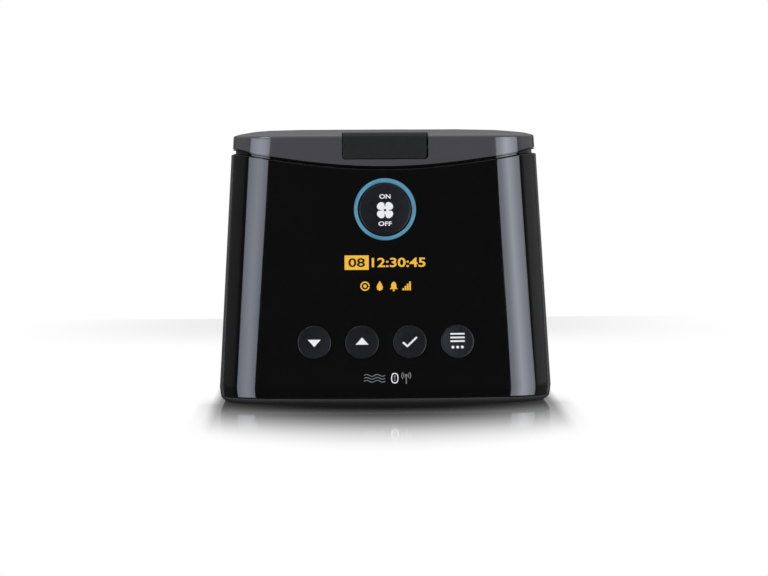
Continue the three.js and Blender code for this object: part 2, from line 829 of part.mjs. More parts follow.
function base_tray() {
  const plate = loft([
    case_ring(z_base_bottom, base_tuck),
    case_ring(z_base_top, base_top_tuck),
  ]);
  const posts = [
    ...post_places([-power_board_half_width, power_board_half_width], power_board_ends),
    ...post_places(main_board_x, main_board_y),
  ].map(([x, y]) => bar_z(x, y, board_post_radius, z_base_top - weld, z_board - fit));
  const mount_posts = mount_places.map(([x, y]) =>
    bar_z(x, y, mount_post_radius, z_base_top - weld, z_mount - fit));
  const foot_seats = foot_places.map(([, x, y]) =>
    bar_z(x, y, foot_radius + fit, 0, foot_proud + foot_inlay + fit));
  const screw_holes = boss_places.flatMap(([, side, y]) => [
    bar_z(side * x_boss, y, screw_radius + fit, 0, z_base_top + overrun),
    bar_z(side * x_boss, y, screw_head_radius + fit, 0, z_base_bottom + screw_head_height + fit),
  ]);
  return cut(joined(plate, ...posts, ...mount_posts), ...foot_seats, ...screw_holes);
}

piece('main_shell', main_shell(), 'case_charcoal');
piece('front_fascia', front_fascia(), 'gloss_black');
piece('base_tray', base_tray(), 'case_charcoal');

for (const [place, x, y] of foot_places) {
  piece(`foot_${place}`, bar_z(x, y, foot_radius, 0, foot_proud + foot_inlay, round_steps), 'dark_rubber');
}

for (const [place, side, y] of boss_places) {
  const screw = turned(side * x_boss, y, [
    [0, z_base_bottom],
    [screw_head_radius, z_base_bottom],
    [screw_head_radius, z_base_bottom + screw_head_height],
    [screw_radius, z_base_bottom + screw_head_height],
    [screw_radius, z_base_bottom + screw_length],
    [0, z_base_bottom + screw_length],
  ], small_round_steps);
  piece(`case_screw_${place}`, screw, 'steel');
}

// Front panel: light ring, start button, keys, board and display

const z_stem_end = -(key_board_depth - switch_height - plunger_height - key_travel - fit);

const light_ring = turned(0, 0, [
  [ring_inner_radius, -ring_depth],
  [ring_outer_radius, -ring_depth],
  [ring_outer_radius, -case_wall - fit - ring_flange_thickness],
  [ring_outer_radius + ring_flange, -case_wall - fit - ring_flange_thickness],
  [ring_outer_radius + ring_flange, -case_wall - fit],
  [ring_outer_radius, -case_wall - fit],
  [ring_outer_radius, 0],
  [ring_inner_radius, 0],
]);
piece('light_ring', light_ring, 'ring_blue', panel_frame(0, z_start));

const start_button = turned(0, 0, [
  [0, z_stem_end],
  [stem_radius, z_stem_end],
  [stem_radius, -start_thickness],
  [start_guide_radius, -start_thickness],
  [start_guide_radius, -start_thickness + start_guide_thickness],
  [start_radius, -start_thickness + start_guide_thickness],
  [start_radius, 0],
  [0, 0],
]);
piece('start_button', start_button, 'key_black', panel_frame(0, z_start));

for (const [name, x] of keys) {
  const flange_top = -case_wall - fit;
  const key = turned(0, 0, [
    [0, z_stem_end + bow_at(x)],
    [stem_radius, z_stem_end + bow_at(x)],
    [stem_radius, -key_thickness],
    [key_radius + key_flange, -key_thickness],
    [key_radius + key_flange, Math.min(flange_top, -key_thickness + key_flange_thickness)],
    [key_radius, Math.min(flange_top, -key_thickness + key_flange_thickness)],
    [key_radius, 0],
    [0, 0],
  ]);
  piece(name, key, 'key_black', panel_frame(x, z_keys));
}

function key_board() {
  const board = block(-key_board_width / 2, key_board_width / 2, -key_board_height / 2, key_board_height / 2,
    -key_board_depth - board_thickness, -key_board_depth);
  const places = [[0, to_board(z_start)], ...keys.map(([, x]) => [x, to_board(z_keys)])];
  const switches = places.map(([u, v]) => joined(
    block(u - switch_size / 2, u + switch_size / 2, v - switch_size / 2, v + switch_size / 2,
      -key_board_depth - weld, -key_board_depth + switch_height),
    bar_z(u, v, plunger_radius, -key_board_depth, -key_board_depth + switch_height + plunger_height)));
  return joined(board, ...switches);
}
piece('key_board', key_board(), 'board_green', board_frame);

const display_module = block(-display_width / 2, display_width / 2,
  to_board(z_display) - display_height / 2, to_board(z_display) + display_height / 2,
  -key_board_depth + fit, -case_wall - display_setback);
piece('display_module', display_module, 'display_glass', board_frame);

// Humidifier bay, heater and water chamber

function chamber_bay() {
  const bay = rounded_block(0, y_chamber, bay_inner_width + 2 * bay_wall, bay_outer_length,
    chamber_corner_radius + bay_clearance + bay_wall, z_shelf_bottom, z_flange_top);
  const well = rounded_block(0, y_chamber, heater_width + 2 * (fit + bay_wall),
    heater_length + 2 * (fit + bay_wall), heater_corner_radius + fit + bay_wall, z_well_bottom, z_shelf_top);
  const before_bulkhead = block(-cutter_reach, cutter_reach, -cutter_reach, y_bay_rear + bay_behind_bay,
    -overrun, z_top);
  const flange = shared(case_body(0, z_top, bay_flange_inset), before_bulkhead,
    block(-cutter_reach, cutter_reach, -cutter_reach, cutter_reach, z_flange_bottom, z_flange_top));
  const skirt = cut(
    shared(case_body(0, z_top, bay_flange_inset), before_bulkhead,
      block(-cutter_reach, cutter_reach, -cutter_reach, cutter_reach,
        z_flange_bottom - bay_skirt_height, z_flange_top)),
    shared(case_body(0, z_top, bay_flange_inset + bay_wall),
      block(-cutter_reach, cutter_reach, -cutter_reach, cutter_reach,
        z_flange_bottom - bay_skirt_height - overrun, z_flange_bottom + weld)));
  const y_pocket = front_y_at(z_flange_top) + latch_pocket_depth;
  const pocket_outer = block(-latch_pocket_width / 2 - bay_wall, latch_pocket_width / 2 + bay_wall,
    front_y_at(z_flange_top) + bay_flange_inset, y_pocket + bay_wall,
    z_flange_bottom - bay_skirt_height, z_flange_top);
  const pocket = block(-latch_pocket_width / 2, latch_pocket_width / 2, -cutter_reach, y_pocket,
    -overrun, z_top);
  const pocket_trim = shared(pocket_outer, case_body(0, z_top, bay_flange_inset));
  const chamber_space = rounded_block(0, y_chamber, bay_inner_width, bay_inner_length,
    chamber_corner_radius + bay_clearance, z_shelf_top, z_top);
  const heater_space = rounded_block(0, y_chamber, heater_width + 2 * fit, heater_length + 2 * fit,
    heater_corner_radius + fit, z_well_floor, z_top);
  const slots = [inlet_port_x, outlet_port_x].map((x) => {
    const half = port_radius + port_slot_clearance;
    return block(x - half, x + half, y_bay_rear - bay_wall - overrun, y_bay_rear + fit,
      z_port - half, z_top);
  });
  return cut(joined(bay, well, flange, skirt, pocket_trim), pocket, chamber_space, heater_space, ...slots);
}
piece('chamber_bay', chamber_bay(), 'inner_black');

const heater_plate = rounded_block(0, y_chamber, heater_width, heater_length, heater_corner_radius,
  z_heater_bottom, z_heater_top);
piece('heater_plate', heater_plate, 'aluminium');

// Wave spring: a flat ring that rises and falls between the well floor and the heater plate
function heater_spring() {
  const steps = wave_steps * heater_spring_waves;
  const swing = (heater_spring_height - heater_spring_thickness) / 2;
  const middle = z_well_floor + fit + heater_spring_height / 2;
  const positions = [];
  const faces = [];
  const corners = [[-1, -1], [1, -1], [1, 1], [-1, 1]];
  for (let i = 0; i < steps; i += 1) {
    const angle = (i / steps) * 2 * Math.PI;
    const rise = swing * Math.sin(heater_spring_waves * angle);
    for (const [side, level] of corners) {
      const radius = heater_spring_radius + (side * heater_spring_width) / 2;
      positions.push(radius * Math.cos(angle), y_chamber + radius * Math.sin(angle),
        middle + rise + (level * heater_spring_thickness) / 2);
    }
    corners.forEach((_, k) => {
      const a = 4 * i + k;
      const b = 4 * i + ((k + 1) % 4);
      const [c, d] = [a, b].map((n) => (n + 4) % (4 * steps));
      faces.push(a, b, d, a, d, c);
    });
  }
  const ring = new THREE.BufferGeometry();
  ring.setAttribute('position', new THREE.Float32BufferAttribute(positions, 3));
  ring.setIndex(faces);
  return to_solid(ring);
}
piece('heater_spring', heater_spring(), 'steel');

const plate_width = heater_width - chamber_plate_overlap;
const plate_length = heater_length - chamber_plate_overlap;
const chamber_plate = rounded_block(0, y_chamber, plate_width, plate_length, heater_corner_radius,
  z_chamber_plate, z_chamber_plate + chamber_plate_thickness);
piece('chamber_plate', chamber_plate, 'steel');

function chamber_tub() {
  const width = chamber_width - 2 * chamber_rim;
  const length = chamber_length - 2 * chamber_rim;
  const radius = chamber_corner_radius - chamber_rim;
  const form = (drawn_in, z0, z1) => loft([
    rounded_ring(0, y_chamber, width - 2 * (chamber_taper + drawn_in),
      length - 2 * (chamber_taper + drawn_in), radius - drawn_in, z0),
    rounded_ring(0, y_chamber, width - 2 * drawn_in, length - 2 * drawn_in, radius - drawn_in, z1),
  ]);
  const rim = rounded_block(0, y_chamber, chamber_width, chamber_length, chamber_corner_radius,
    z_tub_top - chamber_rim_height, z_tub_top);
  const hollow = form(chamber_wall, z_tub_bottom + chamber_wall, z_tub_top + fit);
  const floor_opening = rounded_block(0, y_chamber, plate_width - 2 * chamber_plate_overlap,
    plate_length - 2 * chamber_plate_overlap, heater_corner_radius,
    z_tub_bottom - overrun, z_tub_bottom + chamber_wall + overrun);
  return cut(joined(form(0, z_tub_bottom, z_tub_top), rim), hollow, floor_opening);
}
piece('chamber_tub', chamber_tub(), 'clear_plastic');

const gasket_ring = (drawn_in, z0, z1) => rounded_block(0, y_chamber, chamber_width - 2 * drawn_in,
  chamber_length - 2 * drawn_in, chamber_corner_radius - drawn_in, z0, z1);
const chamber_gasket = cut(gasket_ring(chamber_rim / 2, z_tub_top + fit, z_gasket_top),
  gasket_ring(chamber_rim / 2 + gasket_width, z_tub_top, z_gasket_top + fit));
piece('chamber_gasket', chamber_gasket, 'silicone');

function chamber_cover() {
  const width = chamber_width - 2 * chamber_rim;
  const length = chamber_length - 2 * chamber_rim;
  const radius = chamber_corner_radius - chamber_rim;
  const form = (drawn_in, z0, z1) => loft([
    rounded_ring(0, y_chamber, width - 2 * drawn_in, length - 2 * drawn_in, radius - drawn_in, z0),
    rounded_ring(0, y_chamber, width - 2 * (drawn_in + chamber_taper),
      length - 2 * (drawn_in + chamber_taper), radius - drawn_in, z1),
  ]);
  const rim = rounded_block(0, y_chamber, chamber_width, chamber_length, chamber_corner_radius,
    z_cover_bottom, z_cover_bottom + chamber_rim_height);
  const hollow = form(chamber_wall, z_cover_bottom - weld, z_cover_top - chamber_wall);
  const y_mouth = y_bay_rear - fit;
  const y_root = y_chamber + length / 2 - chamber_taper - 2 * chamber_wall;
  const ports = [inlet_port_x, outlet_port_x];
  return cut(
    joined(cut(joined(form(0, z_cover_bottom, z_cover_top), rim), hollow),
      ...ports.map((x) => bar_y(x, z_port, port_radius, y_root, y_mouth))),
    ...ports.map((x) => bar_y(x, z_port, port_radius - port_wall, y_root - overrun, y_mouth + overrun)));
}
piece('chamber_cover', chamber_cover(), 'clear_plastic');

// Lid, liner, seal, hinges and latch

const z_latch = z_dip + latch_above_dip;
const latch_window = (grow, back) => block(-latch_width / 2 - grow, latch_width / 2 + grow, -cutter_reach,
  front_y_at(z_edge) + latch_top_length + back, z_latch - grow, z_top + overrun);
const y_cavity_rear = y_hinge - hinge_notch_depth - lid_wall;

function lid_cover() {
  const outer = crowned_body(z_dip - overrun, 0);
  const inner = shared(crowned_body(z_dip - 2 * overrun, lid_wall),
    block(-cutter_reach, cutter_reach, -cutter_reach, y_cavity_rear, -overrun, z_top));
  const behind = block(-cutter_reach, cutter_reach, y_lid_rear, cutter_reach, -overrun, z_top + overrun);
  const below = prism_y(above_line(lid_line, -overrun), -cutter_reach, cutter_reach);
  const rear_below = block(-cutter_reach, cutter_reach, y_bay_front, cutter_reach, -overrun, z_liner_bottom);
  const shell = cut(outer, inner, behind, below, rear_below,
    latch_window(latch_gap, latch_travel + latch_gap));
  const notches = [-1, 1].map((side) => {
    const half = lid_barrel_length / 2 + 2 * fit + case_barrel_length;
    return block(side * hinge_x - half, side * hinge_x + half, y_hinge - hinge_notch_depth, cutter_reach,
      -overrun, z_top + overrun);
  });
  const barrels = [-1, 1].map((side) => {
    const x0 = side * hinge_x - lid_barrel_length / 2;
    const x1 = side * hinge_x + lid_barrel_length / 2;
    return joined(
      bar_x(y_hinge, z_hinge, hinge_barrel_radius, x0, x1),
      block(x0, x1, y_hinge - hinge_notch_depth - weld, y_hinge,
        z_hinge - hinge_barrel_radius / 2, z_hinge + hinge_barrel_radius));
  });
  const pin_holes = [-1, 1].map((side) => bar_x(y_hinge, z_hinge, hinge_pin_radius + fit,
    side * hinge_x - lid_barrel_length, side * hinge_x + lid_barrel_length));
  return cut(joined(cut(shell, ...notches), ...barrels), ...pin_holes);
}
piece('lid_cover', lid_cover(), 'lid_charcoal');

const y_latch_core = front_y_at(z_latch + latch_core_height) + lid_wall + latch_core_depth;
const y_latch_stop = y_latch_core + latch_travel + 2 * fit + latch_spring_thickness;

function lid_liner() {
  const plate = shared(case_body(0, z_top, lid_wall + fit),
    block(-cutter_reach, cutter_reach, -cutter_reach, y_cavity_rear - fit, z_liner_bottom, z_liner_top));
  const latch_notch = block(-latch_pocket_width / 2, latch_pocket_width / 2, -cutter_reach, y_latch_stop,
    -overrun, z_top);
  return cut(plate, latch_notch);
}
piece('lid_liner', lid_liner(), 'inner_grey');

const lid_seal = cut(gasket_ring(lid_seal_inset, z_cover_top + fit, z_liner_bottom - fit),
  gasket_ring(lid_seal_inset + lid_seal_width, z_cover_top, z_liner_bottom));
piece('lid_seal', lid_seal, 'silicone');

for (const [name, side] of [['left', -1], ['right', 1]]) {
  const half = lid_barrel_length / 2 + fit + case_barrel_length;
  piece(`hinge_pin_${name}`,
    bar_x(y_hinge, z_hinge, hinge_pin_radius, side * hinge_x - half, side * hinge_x + half), 'steel');
}

function lid_latch() {
  const pad = cut(shared(crowned_body(z_dip - overrun, 0), latch_window(0, 0)),
    crowned_body(z_dip - 2 * overrun, lid_wall));
  const core = block(-latch_core_width / 2, latch_core_width / 2, y_latch_core - latch_core_depth - weld,
    y_latch_core, z_latch + latch_gap, z_latch + latch_gap + latch_core_height);
  const hook = block(-hook_width / 2, hook_width / 2, y_latch_core - hook_thickness, y_latch_core,
    z_latch - hook_drop, z_latch + latch_core_height / 2);
  return joined(pad, core, hook);
}
piece('lid_latch', lid_latch(), 'latch_texture');

// Leaf spring that bows between the latch and the liner's front edge
function latch_spring() {
  const y_near = y_latch_core + fit;
  const y_far = y_latch_stop - fit;
  const bow = y_far - y_near - latch_spring_thickness;
  const steps = corner_steps;
  const edge = (offset) => Array.from({ length: steps + 1 }, (_, i) => {
    const share = (2 * i) / steps - 1;
    return new THREE.Vector2(
      (share * latch_spring_width) / 2,
      y_near + offset + bow * share ** 2,
    );
  });
  const shape = new THREE.Shape([...edge(0), ...edge(latch_spring_thickness).reverse()]);
  const strip = new THREE.ExtrudeGeometry(shape, { depth: latch_spring_height, bevelEnabled: false });
  strip.translate(0, 0, (z_liner_bottom + z_liner_top - latch_spring_height) / 2);
  return to_solid(strip);
}
piece('latch_spring', latch_spring(), 'steel');

// Blower: housings, motor, impeller and soft mounts

const z_can = z_plate - motor_can_height;
const z_low_bearing = z_can + blower_wall + fit;
const z_high_bearing = z_plate + blower_plate_thickness - bearing_width;
const bearing_seat = bearing_radius + fit;

const blower_lower = turned(blower_x, blower_y, [
  [0, z_can],
  [motor_can_radius, z_can],
  [motor_can_radius, z_plate],
  [blower_radius, z_plate],
  [blower_radius, z_plate + blower_plate_thickness],
  [bearing_seat, z_plate + blower_plate_thickness],
  [bearing_seat, z_plate],
  [motor_can_radius - blower_wall, z_plate],
  [motor_can_radius - blower_wall, z_can + blower_wall],
  [bearing_seat + bearing_seat_wall, z_can + blower_wall],
  [bearing_seat + bearing_seat_wall, z_low_bearing + bearing_width],
  [bearing_seat, z_low_bearing + bearing_width],
  [bearing_seat, z_can + blower_wall],
  [0, z_can + blower_wall],
]);
piece('blower_lower', blower_lower, 'inner_black');

const z_volute_port = z_cup + blower_cup_height / 2 - blower_wall / 2;
const volute_port_y = blower_y - blower_radius + volute_port_radius + fit;
const volute_mouth_x = blower_x + volute_port_length;

function blower_upper() {
  const cup = turned(blower_x, blower_y, [
    [blower_radius, z_cup],
    [blower_radius, z_cup_top],
    [eye_radius, z_cup_top],
    [eye_radius, z_cup_top - blower_wall],
    [blower_radius - blower_wall, z_cup_top - blower_wall],
    [blower_radius - blower_wall, z_cup],
  ]);
  const port = bar_x(volute_port_y, z_volute_port, volute_port_radius, blower_x, volute_mouth_x);
  const inside = bar_z(blower_x, blower_y, blower_radius - blower_wall, z_cup - fit,
    z_cup_top - blower_wall, round_steps);
  const bore = bar_x(volute_port_y, z_volute_port, volute_port_radius - volute_port_wall,
    blower_x, volute_mouth_x + overrun);
  return cut(joined(cup, cut(port, inside)), bore);
}
piece('blower_upper', blower_upper(), 'inner_black');

const z_impeller = z_cup + blower_wall;

function impeller() {
  const plate = bar_z(blower_x, blower_y, impeller_radius, z_impeller,
    z_impeller + impeller_plate_thickness, round_steps);
  const hub = bar_z(blower_x, blower_y, hub_radius, z_impeller,
    z_impeller + impeller_plate_thickness + blade_height, small_round_steps);
  const root = hub_radius * blade_sweep;
  const length = impeller_radius - hub_radius;
  const blades = Array.from({ length: blade_count }, (_, i) => {
    const blade = new THREE.BoxGeometry(length, blade_thickness, blade_height + weld);
    blade.translate(root + length / 2, root, 0);
    blade.rotateZ((i / blade_count) * 2 * Math.PI);
    blade.translate(blower_x, blower_y,
      z_impeller + impeller_plate_thickness + (blade_height - weld) / 2);
    return to_solid(blade);
  });
  const bore = bar_z(blower_x, blower_y, shaft_radius + fit, z_impeller - overrun,
    z_impeller + impeller_plate_thickness + blade_height + overrun);
  return cut(joined(plate, hub, ...blades), bore);
}
piece('impeller', impeller(), 'inner_grey');

const z_magnet = (z_low_bearing + bearing_width + z_high_bearing - magnet_height) / 2;
const motor_rotor = turned(blower_x, blower_y, [
  [0, z_low_bearing],
  [shaft_radius, z_low_bearing],
  [shaft_radius, z_magnet],
  [magnet_radius, z_magnet],
  [magnet_radius, z_magnet + magnet_height],
  [shaft_radius, z_magnet + magnet_height],
  [shaft_radius, z_impeller + impeller_plate_thickness + blade_height],
  [0, z_impeller + impeller_plate_thickness + blade_height],
], small_round_steps);
piece('motor_rotor', motor_rotor, 'steel');

const motor_stator = tube_z(blower_x, blower_y, motor_can_radius - blower_wall - fit,
  magnet_radius + stator_bore_gap, z_magnet, z_magnet + magnet_height);
piece('motor_stator', motor_stator, 'brass');

for (const [name, z] of [['bearing_lower', z_low_bearing], ['bearing_upper', z_high_bearing]]) {
  piece(name, tube_z(blower_x, blower_y, bearing_radius, shaft_radius + fit, z, z + bearing_width,
    small_round_steps), 'steel');
}

mount_places.forEach(([x, y], i) => {
  piece(`blower_mount_${i + 1}`, bar_z(x, y, mount_radius, z_mount, z_mount + mount_height), 'silicone');
});

// Air inlet: muffler box, foam, filter and its door

const muffler_x = [blower_x - blower_radius, x_recess - recess_wall - muffler_beside_recess];
const muffler_y = [y_bulkhead + case_wall + muffler_front_gap, y_rear_inner - muffler_neck_length];
const z_muffler_top = z_edge - case_wall - fit - edge_radius;

function inlet_muffler() {
  const box = block(...muffler_x, ...muffler_y, z_muffler, z_muffler_top);
  const hollow = block(muffler_x[0] + muffler_wall, muffler_x[1] - muffler_wall,
    muffler_y[0] + muffler_wall, muffler_y[1] - muffler_wall, z_muffler + muffler_wall, z_top);
  const neck_half_width = filter_width / 2 + muffler_wall + fit;
  const neck_half_height = filter_height / 2 + muffler_wall + fit;
  const neck = block(x_filter - neck_half_width, x_filter + neck_half_width,
    muffler_y[1] - weld, y_rear_inner - fit, z_filter - neck_half_height, z_filter + neck_half_height);
  const neck_hollow = block(x_filter - filter_width / 2 - fit, x_filter + filter_width / 2 + fit,
    muffler_y[1] - muffler_wall - weld, y_rear,
    z_filter - filter_height / 2 - fit, z_filter + filter_height / 2 + fit);
  const collar = bar_z(blower_x, blower_y, eye_radius + eye_collar_wall,
    z_muffler - eye_collar_height, z_muffler + weld, round_steps);
  const eye = bar_z(blower_x, blower_y, eye_radius, z_muffler - eye_collar_height - overrun,
    z_muffler + 2 * muffler_wall, round_steps);
  return cut(joined(cut(box, hollow), neck, collar), neck_hollow, eye);
}
piece('inlet_muffler', inlet_muffler(), 'inner_grey');

const foam = cut(
  block(muffler_x[0] + foam_margin, muffler_x[1] - foam_margin, muffler_y[0] + foam_margin,
    blower_y + eye_radius + foam_margin,
    z_muffler + muffler_wall + fit, z_muffler + muffler_wall + fit + foam_height),
  bar_z(blower_x, blower_y, eye_radius, z_muffler, z_top, round_steps));
piece('muffler_foam', foam, 'foam_grey');

const y_door = y_rear - door_thickness;
const air_filter = block(x_filter - filter_width / 2, x_filter + filter_width / 2,
  y_door - fit - filter_thickness, y_door - fit, z_filter - filter_height / 2, z_filter + filter_height / 2);
piece('air_filter', air_filter, 'filter_white');

function filter_door() {
  const plate = block(x_filter - door_width / 2, x_filter + door_width / 2, y_door, y_rear,
    z_filter - door_height / 2, z_filter + door_height / 2);
  const pitch = (door_height - 2 * grille_margin) / grille_slot_count;
  const slots = Array.from({ length: grille_slot_count }, (_, i) => {
    const z = z_filter - door_height / 2 + grille_margin + (i + 1 / 2) * pitch;
    return block(x_filter - door_width / 2 + grille_margin, x_filter + door_width / 2 - grille_margin,
      y_door - overrun, y_rear + overrun, z - grille_slot_height / 2, z + grille_slot_height / 2);
  });
  return cut(plate, ...slots);
}
piece('filter_door', filter_door(), 'case_charcoal');

// Air path: delivery duct, outlet duct, elbow and its seal

const along_x = vector(1, 0, 0);
const along_y = vector(0, 1, 0);
const along_z = vector(0, 0, 1);

function delivery_duct() {
  const start = vector(volute_mouth_x + fit, volute_port_y, z_volute_port);
  const turn_start = vector(inlet_port_x - delivery_bend, volute_port_y, z_volute_port);
  const first = bend(turn_start, along_x, along_z, delivery_bend);
  const second_start = vector(inlet_port_x, volute_port_y, z_port - delivery_bend);
  const second = bend(second_start, along_z, along_y.clone().negate(), delivery_bend);
  const end = vector(inlet_port_x, y_bay_rear, z_port);
  const path = path_of(
    new THREE.LineCurve3(start, turn_start), first,
    new THREE.LineCurve3(first.v3, second_start), second,
    new THREE.LineCurve3(second.v3, end));
  return pipe(path, volute_port_radius, volute_port_radius - volute_port_wall, pipe_steps);
}
piece('delivery_duct', delivery_duct(), 'inner_grey');

function outlet_duct() {
  const z_socket = z_recess - socket_height / 2;
  const turn_end = vector(x_elbow, y_elbow, z_port - duct_drop + duct_bend_radius);
  const turn_start = vector(x_elbow, y_elbow - duct_bend_radius, z_port - duct_drop);
  const start = vector(outlet_port_x, y_bay_rear, z_port);
  const drop_start = start.clone().addScaledVector(along_y, duct_bend_radius / 2);
  const drop_end = turn_start.clone().addScaledVector(along_y, -duct_bend_radius / 2);
  const handle = (drop_end.y - drop_start.y) / 2;
  const path = path_of(
    new THREE.LineCurve3(start, drop_start),
    new THREE.CubicBezierCurve3(drop_start, drop_start.clone().addScaledVector(along_y, handle),
      drop_end.clone().addScaledVector(along_y, -handle), drop_end),
    new THREE.LineCurve3(drop_end, turn_start),
    bend(turn_start, along_y, along_z, duct_bend_radius),
    new THREE.LineCurve3(turn_end, vector(x_elbow, y_elbow, z_socket)));
  const socket_bore = elbow_radius + socket_clearance;
  const socket = cut(
    bar_z(x_elbow, y_elbow, socket_outer_radius,
      z_socket - socket_wall, z_socket + socket_height, round_steps),
    bar_z(x_elbow, y_elbow, socket_bore, z_socket, z_socket + socket_height + overrun, round_steps),
    bar_z(x_elbow, y_elbow, duct_radius - duct_wall, z_socket - overrun, z_socket + overrun));
  return joined(pipe(path, duct_radius, duct_radius - duct_wall, pipe_steps), socket);
}
piece('outlet_duct', outlet_duct(), 'inner_grey');

const z_socket_floor = z_recess - socket_height / 2;
const z_socket_top = z_socket_floor + socket_height;
const z_elbow_axis = z_socket_top + fit + elbow_rise;

function outlet_elbow() {
  const foot = vector(x_elbow, y_elbow, z_socket_floor + fit);
  const turn_start = vector(x_elbow, y_elbow, z_elbow_axis - elbow_bend);
  const turn = bend(turn_start, along_z, along_y, elbow_bend);
  const mouth = vector(x_elbow, y_rear + elbow_overhang, z_elbow_axis);
  const path = path_of(new THREE.LineCurve3(foot, turn_start), turn, new THREE.LineCurve3(turn.v3, mouth));
  const body = pipe(path, elbow_radius, elbow_radius - elbow_wall, pipe_steps / 2);
  const flange = tube_z(x_elbow, y_elbow, elbow_radius + elbow_flange, elbow_radius - weld,
    z_socket_top + fit, z_socket_top + fit + elbow_flange_thickness);
  const z_groove = z_socket_floor + socket_height / 2;
  const groove = tube_z(x_elbow, y_elbow, elbow_radius + overrun, elbow_radius - seal_groove,
    z_groove - seal_height / 2 - fit, z_groove + seal_height / 2 + fit);
  return cut(joined(body, flange), groove);
}
piece('outlet_elbow', outlet_elbow(), 'inner_grey');

const z_seal = z_socket_floor + (socket_height - seal_height) / 2;
piece('elbow_seal', tube_z(x_elbow, y_elbow, elbow_radius + socket_clearance / 2,
  elbow_radius - seal_groove + fit, z_seal, z_seal + seal_height), 'dark_rubber');

// Boards, power parts and sockets

piece('power_board', block(-power_board_half_width, power_board_half_width, ...power_board_ends,
  z_board, z_board + board_thickness), 'board_green');
piece('main_board', block(...main_board_x, ...main_board_y, z_board, z_board + board_thickness),
  'board_green');

const x_transformer = -power_board_half_width / 2;
piece('transformer', block(x_transformer - transformer_width / 2, x_transformer + transformer_width / 2,
  y_chamber - transformer_length / 2, y_chamber + transformer_length / 2,
  z_parts, z_parts + transformer_height), 'brass');
piece('capacitor', bar_z(-x_transformer, y_chamber, capacitor_radius, z_parts, z_parts + capacitor_height),
  'inner_black');

function mains_inlet() {
  const body = block(x_mains - mains_width / 2, x_mains + mains_width / 2, y_rear - mains_depth, y_rear,
    z_mains - mains_height / 2, z_mains + mains_height / 2);
  const half = mains_cavity_width / 2 - mains_cavity_height / 2;
  const y_floor = y_rear - mains_cavity_depth;
  const cavity = joined(
    bar_y(x_mains - half, z_mains, mains_cavity_height / 2, y_floor, y_rear + overrun),
    bar_y(x_mains + half, z_mains, mains_cavity_height / 2, y_floor, y_rear + overrun),
    block(x_mains - half, x_mains + half, y_floor, y_rear + overrun,
      z_mains - mains_cavity_height / 2, z_mains + mains_cavity_height / 2));
  const pin_holes = [-1, 1].map((side) => bar_y(x_mains + (side * mains_pin_spacing) / 2, z_mains,
    mains_pin_radius + fit, y_rear - mains_depth - overrun, y_rear));
  return cut(body, cavity, ...pin_holes);
}
piece('mains_inlet', mains_inlet(), 'inner_black');

for (const [name, side] of [['left', -1], ['right', 1]]) {
  const y_tip = y_rear - mains_cavity_depth + mains_pin_length;
  piece(`mains_pin_${name}`, bar_y(x_mains + (side * mains_pin_spacing) / 2, z_mains, mains_pin_radius,
    y_rear - mains_depth, y_tip), 'brass');
}

// The service socket and its cover lie in the leaning left wall
const service_socket = cut(
  block(service_cover_thickness + fit, service_cover_thickness + fit + service_depth,
    -service_width / 2, service_width / 2, -service_height / 2, service_height / 2),
  block(0, service_depth, -service_width / 2 + service_shell, service_width / 2 - service_shell,
    -service_height / 2 + service_shell, service_height / 2 - service_shell));
piece('service_socket', service_socket, 'steel', service_frame);

const service_cover = block(0, service_cover_thickness, -service_cover_width / 2, service_cover_width / 2,
  -service_cover_height / 2, service_cover_height / 2);
piece('service_cover', service_cover, 'dark_rubber', service_frame);

export default machine;
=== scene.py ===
# Looks of a CPAP machine with a built-in humidifier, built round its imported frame.
# Metres. X runs to the right seen from the front, Y from front to back, Z up.

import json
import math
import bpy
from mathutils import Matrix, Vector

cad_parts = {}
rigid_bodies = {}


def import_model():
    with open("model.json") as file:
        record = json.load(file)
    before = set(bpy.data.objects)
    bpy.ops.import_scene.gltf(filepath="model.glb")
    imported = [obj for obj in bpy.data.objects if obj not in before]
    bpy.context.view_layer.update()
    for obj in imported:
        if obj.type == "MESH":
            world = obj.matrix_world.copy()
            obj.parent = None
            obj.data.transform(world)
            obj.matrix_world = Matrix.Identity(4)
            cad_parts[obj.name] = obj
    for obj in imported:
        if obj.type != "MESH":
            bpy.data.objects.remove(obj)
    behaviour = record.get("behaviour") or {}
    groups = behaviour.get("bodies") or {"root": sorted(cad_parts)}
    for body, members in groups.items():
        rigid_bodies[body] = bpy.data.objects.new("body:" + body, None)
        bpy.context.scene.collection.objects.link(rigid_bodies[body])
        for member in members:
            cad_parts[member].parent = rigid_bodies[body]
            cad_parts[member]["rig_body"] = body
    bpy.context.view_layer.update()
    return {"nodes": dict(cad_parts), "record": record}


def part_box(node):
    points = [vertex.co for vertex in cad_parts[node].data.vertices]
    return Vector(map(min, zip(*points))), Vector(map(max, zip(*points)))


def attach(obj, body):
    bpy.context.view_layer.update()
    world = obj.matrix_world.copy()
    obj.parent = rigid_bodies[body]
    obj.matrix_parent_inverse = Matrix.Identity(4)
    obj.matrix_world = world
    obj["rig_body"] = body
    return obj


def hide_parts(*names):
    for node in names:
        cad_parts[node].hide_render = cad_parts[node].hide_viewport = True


bl_info = {
    "name": "CPAP machine",
    "version": (1, 0, 0),
    "blender": (4, 5, 0),
    "location": "View3D > Sidebar > CPAP",
    "description": "Builds the looks of a CPAP machine with a built-in humidifier round its packed frame",
    "category": "Object",
}

import bmesh
import bpy
import numpy as np
from bpy.props import FloatProperty, FloatVectorProperty, PointerProperty
from mathutils import Matrix, Vector

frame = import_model()

MM = 0.001

